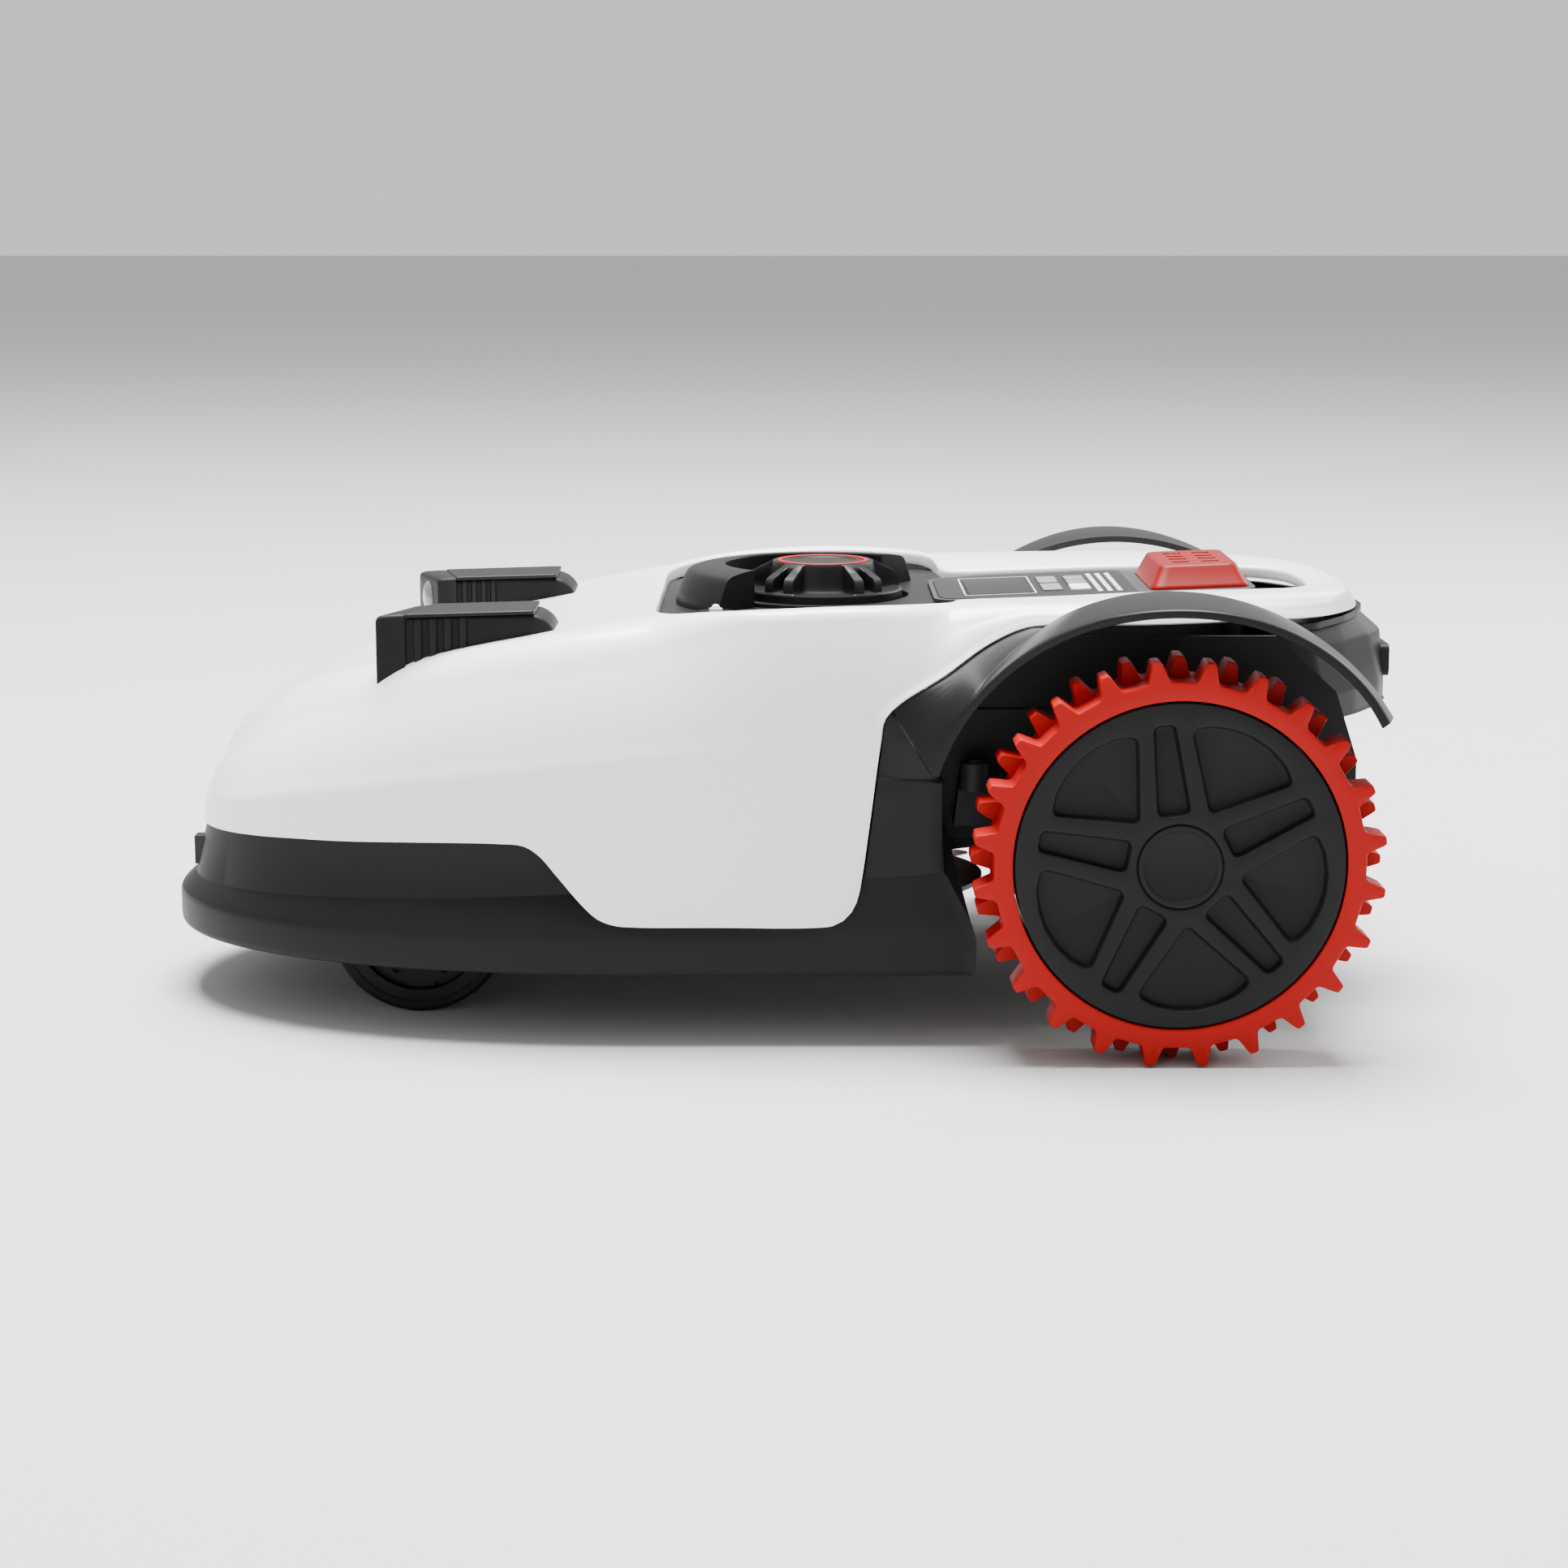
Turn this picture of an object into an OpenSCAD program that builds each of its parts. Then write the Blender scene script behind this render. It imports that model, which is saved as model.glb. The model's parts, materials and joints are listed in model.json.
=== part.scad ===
// Robotic lawn mower. +X is forward, +Y is the mower's left side, +Z is up.
// The origin is on the ground, under the middle of the bounding box. Millimetres.

/* [Drive wheels] */
// Distance from the origin back to the drive axle
axle_back = 226; // [222:1:228]
// Radius over the tips of the lugs
wheel_r = 117.5; // [116:0.5:118]
// Radius of the rim that carries the tyre
rim_r = 94.3; // [90:0.1:96]
// Radius of the tyre between its lugs
root_r = 105.6; // [103:0.1:107]
// Lugs in each of the two rows
lug_count = 24; // [20:1:26]
// Y of the wheel's outer face
wheel_face_y = 236; // [232:1:237]
// Width of the tyre
tyre_w = 48; // [44:1:50]
// Radius of the drive shaft
shaft_r = 8; // [7:0.5:9]

/* [Casters] */
// X of the swivel axis
swivel_x = 230; // [228:1:233]
// Distance of each swivel axis from the centre plane
swivel_y = 94; // [90:1:95]
// Distance that the wheel trails behind its swivel axis
trail = 9; // [6:1:10]
// Radius of the caster wheel
caster_r = 54; // [50:1:54]
// Width of the caster wheel
caster_w = 24; // [20:1:24]
// Radius of the swivel stem
stem_r = 9.95; // [8:0.05:10]

/* [Body] */
// X of the nose
nose_x = 381.5; // [378:0.5:382]
// X of the tail plate
tail_x = -381.5; // [-383:0.5:-381]
// Half width of the skirt's sides
skirt_y = 190; // [188:0.5:191]
// Height of the skirt's lower edge above the ground
skirt_z = 43; // [38:1:46]
// Wall of the moulded shells
wall = 2.6; // [2.4:0.1:3]
// Half width over the two fenders
fender_y = 240; // [238:1:242]
// Radius of the fender arch about the drive axle
fender_r = 147; // [144:0.5:148]

/* [Cutting deck] */
// X of the cutter disc's axis
cutter_x = -40; // [-44:1:-36]
// Height of the blades above the ground
blade_z = 62; // [58:1:66]
// Radius of the cutter disc
disc_r = 88; // [84:1:90]
// Radius of the circle of blade pivots
pivot_r = 78; // [74:1:80]
// Length of a blade from its pivot to its tip
blade_len = 40; // [34:1:42]

/* [Controls] */
// X of the height knob's axis
knob_x = -26; // [-28:1:-24]
// Radius of the height knob
knob_r = 50; // [46:1:51]
// Half width of the control panel
panel_y = 68; // [64:1:70]

/* [Hidden] */
$fn = 64;
axle_x = -axle_back;
axle_z = wheel_r;
tyre_in_y = wheel_face_y - tyre_w;
running = 0.05;
deck_tilt = 1.9;
cutter_bay_r = 130;
tray_z = 114;
tray_t = 4;
side_y = 150;
panel_tilt = 2.2;
stop_x = -258;
// Keys: x, y, size along y, size along x
key_rows = [[-168.5, 19, 33, 12], [-168.5, -19, 33, 12], [-186, 22.5, 27, 12], [-186, -3, 20, 12],
            [-186, -25, 20, 12]];
display_x = -135.5;
rain_spot = [40, 74];
blade_at = 107;

// ---- helpers ----

// Builds its children as drawn for the left side, or mirrored for the right side
module on_side(s) {
  if (s > 0) children();
  else mirror([0, 1, 0]) children();
}

// Extrudes an outline drawn in X and Z from y0 to y1
module plate_y(y0, y1) {
  translate([0, y1, 0]) rotate([90, 0, 0]) linear_extrude(y1 - y0) children();
}

// A rod along Y
module rod_y(x, z, r, y0, y1) {
  translate([x, y1, z]) rotate([90, 0, 0]) cylinder(r = r, h = y1 - y0);
}

// Turns a profile of [radius, y] points about an axle along Y
module turned_y(x, z, profile, angle = 360, start = 0) {
  translate([x, 0, z]) rotate([90, 0, 0]) rotate([0, 0, start])
    rotate_extrude(angle = angle) polygon([for (p = profile) [p[0], -p[1]]]);
}

// A rectangle with round corners, centred
module round_rect(a, b, r) {
  union() {
    square([a - 2 * r, b], center = true);
    square([a, b - 2 * r], center = true);
    for (i = [-1, 1], j = [-1, 1]) translate([i * (a / 2 - r), j * (b / 2 - r)]) circle(r);
  }
}

function polar(r, a) = [r * cos(a), r * sin(a)];
// A half outline at +Y joined to its mirror image at -Y
function both_sides(p) = concat(p, [for (i = [len(p) - 1 : -1 : 0]) [p[i][0], -p[i][1]]]);
function unit(v) = v / norm(v);

// An outline whose corners are replaced by small arcs of n + 1 points
function rounded(p, r, n = 4) = [
  for (i = [0 : len(p) - 1])
    let (a = p[(i + len(p) - 1) % len(p)], b = p[i], c = p[(i + 1) % len(p)],
         u = unit(a - b), v = unit(c - b), half = acos(u * v) / 2,
         d = r / tan(half), start = b + u * d, end = b + v * d)
      for (k = [0 : n]) let (t = k / n) (1 - t) * (1 - t) * start + 2 * t * (1 - t) * b + t * t * end
];

// Half width of a rounded nose plan at x: full width back to x = 80
function plan_y(x, nose, half) = x <= 80 ? half
  : half * pow(max(0, 1 - pow(min(1, (x - 80) / (nose - 80)), 2.2)), 1 / 2.2);

// Plan outline from the nose back to x_end
function nose_plan(nose, half, x_end) = concat(
  [for (k = [0 : 12]) let (x = 80 + (nose - 80) * cos(90 * k / 12 * 0.999)) [x, -plan_y(x, nose, half)]],
  [[x_end, -half], [x_end, half]],
  [for (k = [12 : -1 : 1]) let (x = 80 + (nose - 80) * cos(90 * k / 12 * 0.999)) [x, plan_y(x, nose, half)]]);

// A closed solid through rings of points, each ring clockwise as seen from before the first ring
module loft(rings) {
  n = len(rings[0]);
  m = len(rings);
  polyhedron(
    points = [for (r = rings) each r],
    faces = concat(
      [[for (j = [0 : n - 1]) j]],
      [for (i = [0 : m - 2], j = [0 : n - 1]) let (k = (j + 1) % n) each [
        [i * n + j, (i + 1) * n + j, i * n + k], [i * n + k, (i + 1) * n + j, (i + 1) * n + k]]],
      [[for (j = [n - 1 : -1 : 0]) (m - 1) * n + j]]));
}

// ---- top cover ----

// Stations of the cover: x, bottom half width, crease half width, crease z, shoulder half width,
// shoulder z and crown height above the shoulder
cover_stations = [
  [364.5, 10, 9, 108, 4, 110, 0.5],
  [362, 34, 33, 124, 10, 127, 0.5],
  [349, 71, 70, 127, 8, 155, 2],
  [333, 97, 95, 131, 26, 171, 3],
  [312, 119, 116, 137, 54, 186, 4],
  [291, 134, 131, 142, 77, 197, 2.5],
  [259, 152, 149, 148, 104, 209, 2],
  [200, 173, 170, 158, 137, 224.6, 0.5],
  [131, 186, 183.5, 167, 154, 238.4, 0.4],
  [72, 190.5, 188.5, 173, 161, 249.6, 0.4],
  [3, 190.5, 189, 179, 174, 257, 1],
  [-40, 190.5, 189, 182, 174, 258.4, 0.5],
  [-78, 186, 184, 196, 163, 257.6, 0.5],
  [-120, 166, 163, 226, 152, 256.8, 0.5],
  [-155, 155.5, 154.5, 244, 149, 256.4, 0.8],
  [-215, 155.5, 154, 245, 146, 257.4, 1],
  [-268, 138, 136, 245, 125, 258.6, 1],
  [-322, 107, 105, 245, 100, 257.5, 1],
  [-345, 68, 68, 246, 63, 255.4, 0.5],
  [-358, 21, 21, 245, 12, 250, 0.3],
  [-361, 8, 8, 243.5, 5, 246.5, 0.2]
];

// One ring of the cover's surface moved in by inset, from the left bottom corner over the crown
function cover_ring(s, inset, low) =
  let (x = s[0] * (1 - inset / 362), yb = max(1, s[1] - inset), yc = max(0.9, s[2] - inset),
       ys = max(0.5, s[4] - inset), zc = s[3] - inset, zs = s[5] - inset, zt = zs + s[6],
       bulge = min(2.5, (yc - ys) / 4),
       ym = (yc + ys) / 2 + bulge, zm = (zc + zs) / 2 + bulge, zq = zt - s[6] * 0.25)
  [[x, -yb, low], [x, -yc, zc], [x, -ym, zm], [x, -ys, zs], [x, -ys / 2, zq], [x, 0, zt],
   [x, ys / 2, zq], [x, ys, zs], [x, ym, zm], [x, yc, zc], [x, yb, low]];

module cover_solid(inset, low) {
  loft([for (s = cover_stations) cover_ring(s, inset, low)]);
}

// The cover's lower edge, seen from the side
cover_edge = [
  [363.9, 107], [340, 110], [286, 114.5], [188, 119.5], [158, 120], [144, 116], [134, 106.5], [114, 82],
  [103, 74.5], [91, 72.2], [-24, 72.2], [-38.8, 78.5], [-45.8, 93], [-57.2, 181], [-59.4, 195],
  [-68.7, 204], [-94, 218.5], [-120, 235], [-139, 243.5], [-153, 245.6], [-268, 245.6], [-300, 244],
  [-340, 242.6], [-360, 240.6], [-360, 300], [363.9, 300]
];

// The hollow under the cover's top, seen from the side
cover_hollow = [[-354, 40], [361, 40], [361, 300], [-354, 300]];

// Plan of the opening round the knob and the panel
half_opening = [
  [76, 96], [66, 132], [36, 156], [0, 162], [-43, 160], [-80, 147], [-97, 131], [-104, 88], [-225, 74],
  [-292, 66], [-317, 46], [-328, 10]
];

module top_cover() {
  color("white") difference() {
    intersection() {
      cover_solid(0, 60);
      plate_y(-200, 200) polygon(cover_edge);
    }
    intersection() {
      cover_solid(wall, 50);
      plate_y(-200, 200) polygon(cover_hollow);
    }
    translate([0, 0, 225]) linear_extrude(60) polygon(both_sides(half_opening));
    for (s = [-1, 1]) on_side(s) pod_block(0.3);
  }
}

// ---- obstacle sensor pods on the cover ----

pod_in_y = 72;
pod_out_y = 120;
pod_mid_y = 96;
pod_front_x = 242;
lens_r = 10.6;
// The pods look this far inwards
pod_toe = 20;
pod_profile = [
  [133, 234], [135, 240], [141, 245], [150, 247.3], [242, 244.7], [240.5, 206], [205, 212], [150, 230]
];

// Plan of a pod, growing by g: its front runs back towards the inner side
function pod_plan(g) = [
  [pod_front_x + g, pod_out_y + g], [120 - g, pod_out_y + g], [120 - g, pod_in_y - g],
  [pod_front_x - (pod_out_y - pod_in_y) * tan(pod_toe) + g, pod_in_y - g]];

module pod_block(g) {
  intersection() {
    plate_y(pod_in_y - g, pod_out_y + g)
      polygon([for (p = pod_profile) [p[0] + (p[0] > 200 ? 2 : -g), p[1] + (p[1] > 233 ? g : 0)]]);
    translate([0, 0, 190]) linear_extrude(80) polygon(pod_plan(g));
  }
}

// Places its children at the lens, facing along it
module at_lens() {
  translate([pod_front_x - (pod_out_y - pod_mid_y) * tan(pod_toe), pod_mid_y, 231.8])
    rotate([0, 0, -pod_toe]) rotate([0, 90, 0]) children();
}

module sensor_pod() {
  color("#2c2c2d") difference() {
    union() {
      pod_block(0);
      translate([0, 0, 251.5]) rotate([0, 1.65, 0]) linear_extrude(2.2) intersection() {
        polygon(pod_plan(0.8));
        translate([157, 0]) square([100, 200]);
      }
    }
    for (i = [0 : 3]) plate_y(pod_out_y - 1.2, pod_out_y + 3) translate([205 - 9 * i, 200]) square([4.5, 42]);
    for (i = [0 : 4]) plate_y(pod_in_y - 3, pod_in_y + 1.2) translate([214 - 9 * i, 200]) square([4.5, 42]);
    at_lens() translate([0, 0, -6]) cylinder(r = 9, h = 20);
    at_lens() translate([0, 0, -1.6]) cylinder(r = lens_r + 0.1, h = 20);
    translate([190, pod_mid_y, 200]) linear_extrude(38) round_rect(60, 26, 3);
  }
}

module sensor_lens() {
  color("#9fb0b8") at_lens() rotate_extrude()
    polygon([[0, -1.5], [lens_r, -1.5], [lens_r, 0.2], [9, 1.6], [5, 2.8], [0, 3.2]]);
}

// ---- black lower body ----

skirt_end_x = -120;
skirt_slope = 0.0635;

// One level of the skirt: its nose x, half width, height at the nose and rise towards the rear
function skirt_ring(nose, half, z, slope) =
  [for (p = nose_plan(nose, half, skirt_end_x)) [p[0], p[1], z + slope * (371 - p[0])]];

module skirt_solid(inset, z_open) {
  nose = nose_x - inset;
  half = skirt_y - inset;
  loft([
    skirt_ring(nose - 22, half - 12.5, 109 + z_open, skirt_slope),
    skirt_ring(nose - 10.5, half - 10.5, 72, skirt_slope), skirt_ring(nose, half, 60, 0.004),
    skirt_ring(nose, half, skirt_z + 3, 0), skirt_ring(nose - 2, half - 2, skirt_z - z_open, 0)]);
}

module front_skirt() {
  color("#262627") {
    difference() {
      skirt_solid(0, 0);
      skirt_solid(wall, 1);
      translate([-200, -250, 100]) cube([107, 500, 80]);
      for (s = [-1, 1]) translate([0, s > 0 ? 0 : -200, 0])
        plate_y(0, 200) polygon([[-121, 40], [-113, 40], [-113, 63], [-93, 104], [-93, 190], [-121, 190]]);
      charge_pads();
    }
    for (s = [-1, 1]) on_side(s) {
      plate_y(176, 179.4) polygon([[-50, 100], [-50, 166], [-93, 166], [-93, 104], [-95, 100]]);
      translate([-89.5, side_y + 0.5, tray_z + tray_t]) cube([2.5, 26, 48]);
    }
  }
}

// The fender's outer edge in plan: it swells from the body side to full width over the axle
fender_plan = [
  [-80, 140], [-80, 192], [-92, 195], [-113, 201], [-135, 208], [-165, 219], [-199, 232], [-232, 240],
  [-400, 240], [-400, 140]
];

module fender_band(r0, r1, drop) {
  edge_y = fender_y + 5;
  turned_y(axle_x, axle_z, [[r0, 158], [r0, edge_y], [r1 - drop, edge_y], [r1 + 0.8, 158]], 124, 22);
}

module fender() {
  color("#333334") {
    difference() {
      intersection() {
        fender_band(fender_r - 7, fender_r, 0.3);
        translate([0, 0, 100]) linear_extrude(200) polygon(fender_plan);
      }
      intersection() {
        fender_band(fender_r - 12, fender_r - 3.4, 0.3);
        translate([0, -4.5, 100]) linear_extrude(200) polygon(fender_plan);
      }
    }
    intersection() {
      turned_y(axle_x, axle_z, [[fender_r - 26, 158], [fender_r - 26, 161], [fender_r - 2, 161],
                                [fender_r - 2, 158]], 118, 22);
      translate([0, 0, 100]) linear_extrude(200) polygon(fender_plan);
    }
    hull() {
      plate_y(181, 187.3) polygon([[-48.4, 104], [-58.2, 180], [-60.4, 195], [-93, 176], [-93, 104]]);
      plate_y(180, 184) polygon([[-50.4, 110], [-59.2, 180], [-62.5, 196.5], [-93, 184], [-93, 110]]);
    }
    hull() {
      plate_y(182, 187.3) polygon([[-58.8, 182], [-60.4, 195], [-92, 176], [-90, 168]]);
      translate([-68, 168, 190]) cube([2, 8, 9.5]);
      translate([-112, 162, 206]) cube([2, 30, 4]);
    }
    hull() {
      translate([-68, 168, 190]) cube([2, 8, 9.5]);
      translate([-112, 162, 206]) cube([2, 34, 5]);
      translate([-118, 161, 226]) cube([2, 10, 6]);
      translate([-94, 166, 212]) cube([2, 6, 3]);
    }
    hull() {
      translate([-112, 162, 206]) cube([2, 34, 5]);
      translate([-118, 161, 226]) cube([2, 10, 6]);
      translate([-150, 158, 243]) cube([2, 6, 3]);
      translate([-140, 161, 234]) cube([2, 30, 3]);
    }
  }
}

// Rear housing: side walls between the wheels, and the sloping tail under the handle
tail_low = [[-290, 128], [-325, 112], [-350, 78], [-371, 40], [-379, 14]];
tail_mid = [[-290, 128], [-318, 112], [-341, 78], [-364, 40], [-376, 12]];
tail_top = [[-290, 122], [-316, 103], [-338, 68], [-352, 36], [-358, 10]];

module tail_solid(inset) {
  module level(p, z) {
    translate([inset, 0, z]) linear_extrude(0.01)
      polygon(both_sides([for (q = p) [q[0], q[1] - inset]]));
  }
  hull() {
    level(tail_low, 181 - inset * 2);
    level(tail_low, 186);
    level(tail_mid, 225);
  }
  hull() {
    level(tail_mid, 225);
    level(tail_top, 239.2 - inset);
  }
}

// Hand pocket under the handle: lowest and highest x, half width and floor
grip = [-347, -298.5, 56, 205];

module grip_box(grow, up) {
  translate([grip[0] - grow, -grip[2] - grow, grip[3] - grow])
    cube([grip[1] - grip[0] + 2 * grow, 2 * (grip[2] + grow), 239 + up - grip[3] + grow]);
}

module rear_housing() {
  wall_z = tray_z + tray_t;
  color("#2b2b2c") {
    difference() {
      union() {
        difference() {
          tail_solid(0);
          tail_solid(3);
        }
        grip_box(3, 0);
      }
      grip_box(0, 10);
      translate([-293.6, -72, 210]) cube([10, 144, 40]);
      tail_plate_block(0.1);
    }
    difference() {
      union() {
        for (s = [-1, 1]) on_side(s) {
          plate_y(side_y - 3, side_y)
            polygon([[-86, wall_z], [-86, 176], [-120, 214], [-160, 238], [-296, 238], [-330, 205],
                     [-340, 160], [-340, wall_z]]);
          for (z = [152, 190]) translate([-300, side_y - 1, z]) cube([190, 3, 6]);
          rod_y(axle_x, axle_z, 25, side_y - 3, 172);
          translate([-300, 122, 158]) cylinder(r = 6, h = 26);
          translate([-306, 120, 170]) cube([12, 28, 3]);
        }
        translate([-340, 3 - side_y, wall_z]) cube([3, 2 * side_y - 6, 183 - wall_z]);
      }
      for (s = [-1, 1]) on_side(s) {
        rod_y(axle_x, axle_z, 17, 160, 180);
        rod_y(axle_x, axle_z, 12, side_y - 10, 162);
      }
    }
  }
}

module tail_plate_block(g) {
  translate([tail_x, 0, 205]) rotate([90, 0, 90]) linear_extrude(6 + g) round_rect(34 + 2 * g, 20 + 2 * g, 4);
}

module tail_plate() {
  color("#1f1f20") difference() {
    tail_plate_block(0);
    translate([tail_x - 1, 0, 205]) rotate([90, 0, 90]) linear_extrude(2) round_rect(26, 12, 3);
  }
}

// ---- upper chassis ----

deck_plan = [[78, 94], [68, 134], [36, 158], [3, 164], [-40, 163], [-80, 150], [-99, 134], [-104, 90]];

module tilted_deck(z0, z1) {
  translate([0, 0, z1]) rotate([0, deck_tilt, 0]) translate([0, 0, z0 - z1]) linear_extrude(z1 - z0)
    polygon(both_sides(deck_plan));
}

collar_r = 61;

module centre_deck() {
  color("#303031") difference() {
    union() {
      tilted_deck(239.5, 242.5);
      intersection() {
        tilted_deck(100, 242);
        translate([0, 0, tray_z + tray_t]) union() {
          for (s = [-1, 1]) translate([-80, s * 140 - 1.5, 0]) cube([130, 3, 140]);
          translate([58, -95, 0]) cube([3, 190, 140]);
        }
      }
      translate([knob_x, 0, 238]) cylinder(r = collar_r, h = 6.4);
      translate([rain_spot[0], rain_spot[1], 238]) cylinder(r = 11, h = 5.4);
    }
    translate([knob_x, 0, 241]) cylinder(r = knob_r + 4, h = 20);
    translate([knob_x, 0, 200]) cylinder(r = 10, h = 60);
    translate([rain_spot[0], rain_spot[1], 230]) cylinder(r = 4, h = 30);
    on_panel() translate([0, 0, 200]) linear_extrude(80) panel_plan(0.3);
  }
}

module knob_dome() {
  low = 236;
  in_r = collar_r + 0.3;
  color("#2e2e2f") difference() {
    translate([knob_x, 0, 0]) rotate_extrude()
      polygon([[in_r, low], [93, low], [93, 244], [92, 246], [88, 255], [85, 260], [82, 262], [70, 264.3],
               [in_r + 1, 265], [in_r, 264]]);
    translate([knob_x, 0, 200]) linear_extrude(90)
      polygon([[0, 0], polar(200, 47), polar(240, 90), polar(300, 135), polar(300, 180), polar(240, 230)]);
    tilted_deck(200, 242.5);
    translate([rain_spot[0], rain_spot[1], 230]) cylinder(r = 11.4, h = 50);
  }
}

module rain_sensor() {
  color("white") translate([rain_spot[0], rain_spot[1], 0]) {
    translate([0, 0, 232]) cylinder(r = 4, h = 13);
    translate([0, 0, 245]) sphere(r = 2.6);
  }
}

// Tilts its children with the control panel, about the panel's front edge
module on_panel() {
  translate([-95, 0, 248]) rotate([0, panel_tilt, 0]) translate([95, 0, -248]) children();
}

module panel_plan(grow) {
  translate([-193, 0]) union() {
    round_rect(198 + 2 * grow, 2 * (panel_y - 8) + 2 * grow, 16);
    translate([-4, 0]) round_rect(176 + 2 * grow, 2 * panel_y + 2 * grow, 20);
  }
}

module key_holes() {
  for (k = key_rows) translate([k[0], k[1], 240]) linear_extrude(20) round_rect(k[3] + 0.8, k[2] + 0.8, 2.4);
}

module panel_housing() {
  color("#3c3c3d") on_panel() difference() {
    translate([0, 0, 214]) linear_extrude(34) panel_plan(0);
    translate([0, 0, 210]) linear_extrude(28) panel_plan(-3);
    translate([0, 0, 230]) linear_extrude(15) intersection() {
      panel_plan(-3);
      translate([-221, -80]) square([140, 160]);
    }
    translate([0, 0, 246.6]) linear_extrude(5) intersection() {
      panel_plan(-3);
      translate([-219, -80]) square([130, 160]);
    }
    key_holes();
    translate([display_x, 0, 240]) linear_extrude(20) round_rect(30, 70, 2);
    translate([stop_x, 0, 244.2]) linear_extrude(20) round_rect(stop_base[0] + 1.4, stop_base[1] + 1.4, 6.7);
    translate([stop_x, 0, 220]) linear_extrude(40) round_rect(52, 92, 7);
  }
}

module panel_face() {
  color("#8a8a88") on_panel() difference() {
    translate([0, 0, 246.6]) linear_extrude(1.8) intersection() {
      panel_plan(-3.2);
      translate([-218.8, -80]) square([130, 160]);
    }
    translate([display_x, 0, 240]) linear_extrude(20) round_rect(39.4, 81.4, 3);
    key_holes();
  }
}

module display_window() {
  color("#3a3f44") on_panel() translate([display_x, 0, 246.7]) linear_extrude(1.9) round_rect(39, 81, 2.8);
}

// A key cap with a shoulder under the panel
module key_cap(i) {
  k = key_rows[i];
  color(i == 2 ? "#f2f2f2" : "#9a9a98") on_panel() translate([k[0], k[1], 0]) {
    translate([0, 0, 242.6]) linear_extrude(6.6) round_rect(k[3], k[2], 2);
    translate([0, 0, 240.6]) linear_extrude(2) round_rect(k[3] + 1.6, k[2] + 1.6, 2);
  }
}

stop_base = [60, 100];
stop_top = [46, 82];
stop_h = 13.3;

module stop_button() {
  color("#e5201c") on_panel() translate([stop_x, 0, 248.6]) {
    hull() {
      linear_extrude(1.6) round_rect(stop_base[0], stop_base[1], 6, $fn = 32);
      translate([0, 0, stop_h - 1]) linear_extrude(1) round_rect(stop_top[0], stop_top[1], 5, $fn = 32);
    }
    translate([0, 0, -12]) linear_extrude(13) round_rect(48, 88, 6);
  }
}

// ---- height knob ----

module height_knob() {
  color("#2a2a2b") translate([knob_x, 0, 0]) difference() {
    union() {
      rotate_extrude() polygon([[0, 241.6], [knob_r, 241.6], [knob_r, 248], [knob_r - 1, 249], [48.5, 249.5],
                                [48.5, 256.5], [47, 258.5], [32, 265.5], [31, 266.6], [0, 266.6]]);
      translate([0, 0, 222]) cylinder(r = 9.95, h = 23);
      translate([0, 0, 165]) cylinder(r = screw_r, h = 60);
    }
    for (i = [0 : 4]) rotate([0, 0, 90 + 72 * i]) {
      difference() {
        translate([0, 0, 249.5]) linear_extrude(20)
          polygon([polar(26, 23), polar(26, -23), polar(70, -20), polar(70, 20)]);
        translate([0, 0, 249]) cylinder(r1 = 36, r2 = 30.5, h = 17.6);
      }
      rotate([0, 0, 36]) translate([0, 0, 251]) linear_extrude(20)
        polygon([[34, -2.6], [60, -3.6], [60, 3.6], [34, 2.6]]);
    }
    translate([0, 0, 265.4]) difference() {
      cylinder(r = 29, h = 5);
      translate([0, 0, -1]) cylinder(r = 25.6, h = 7);
    }
    translate([0, 0, 266]) cylinder(r = 21, h = 3);
  }
}

module knob_ring() {
  color("#d9252a") translate([knob_x, 0, 265.4]) difference() {
    cylinder(r = 28.9, h = 1.6);
    translate([0, 0, -1]) cylinder(r = 25.7, h = 4);
  }
}

// ---- chassis tray and what it carries ----

battery_bay_y = 104;

// The battery bay from the side, with its walls moved in by g
function bay_side(g, top) = [
  [-338 + g, 96 + g / 2], [-322 + g, 62 + g], [-198 - g, 62 + g], [-198 - g, top], [-338 + g, top]];

module tray_shape() {
  translate([0, 0, tray_z]) linear_extrude(tray_t) polygon(nose_plan(353.5, 174.4, -90));
  translate([-338, 3.3 - side_y, tray_z]) cube([250, 2 * side_y - 6.6, tray_t]);
  translate([cutter_x, 0, 104]) cylinder(r = cutter_bay_r + 3, h = 11);
  for (s = [-1, 1]) translate([swivel_x, s * swivel_y, tray_z]) cylinder(r = 24, h = 30);
  translate([110, -24, 66]) cube([206, 48, 49]);
  plate_y(-battery_bay_y, battery_bay_y) polygon(bay_side(0, 116));
}

module chassis_tray() {
  color("#232324") difference() {
    tray_shape();
    translate([cutter_x, 0, 80]) cylinder(r = cutter_bay_r, h = tray_z - 80);
    translate([cutter_x, 0, 80]) cylinder(r = 42, h = 60);
    for (s = [-1, 1]) translate([swivel_x, s * swivel_y, 100]) cylinder(r = 16, h = 60);
    translate([113, -21, 69]) cube([200, 42, 60]);
    plate_y(3 - battery_bay_y, battery_bay_y - 3) polygon(bay_side(3, 125));
    translate([-320, -70, 55]) cube([110, 140, 20]);
    for (s = [-1, 1]) on_side(s) translate([axle_x - 34, battery_bay_y + 1.5, 80]) cube([90, 50, 60]);
    at_screws() cylinder(r = 2.05, h = 9);
  }
}

module battery_pack() {
  color("#3d4a3d") translate([-316, -66, 66]) cube([102, 132, 58]);
}

module battery_door() {
  color("#2a2a2b") {
    translate([-319.7, -69.7, 62]) cube([109.4, 139.4, 3.2]);
    for (i = [0 : 6]) translate([-306 + 14 * i, -55, 60.8]) cube([4, 110, 1.4]);
  }
}

board_chips = [[135, -50, 22, 30], [170, -20, 30, 30], [140, 20, 24, 36], [205, 10, 20, 44]];

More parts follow.
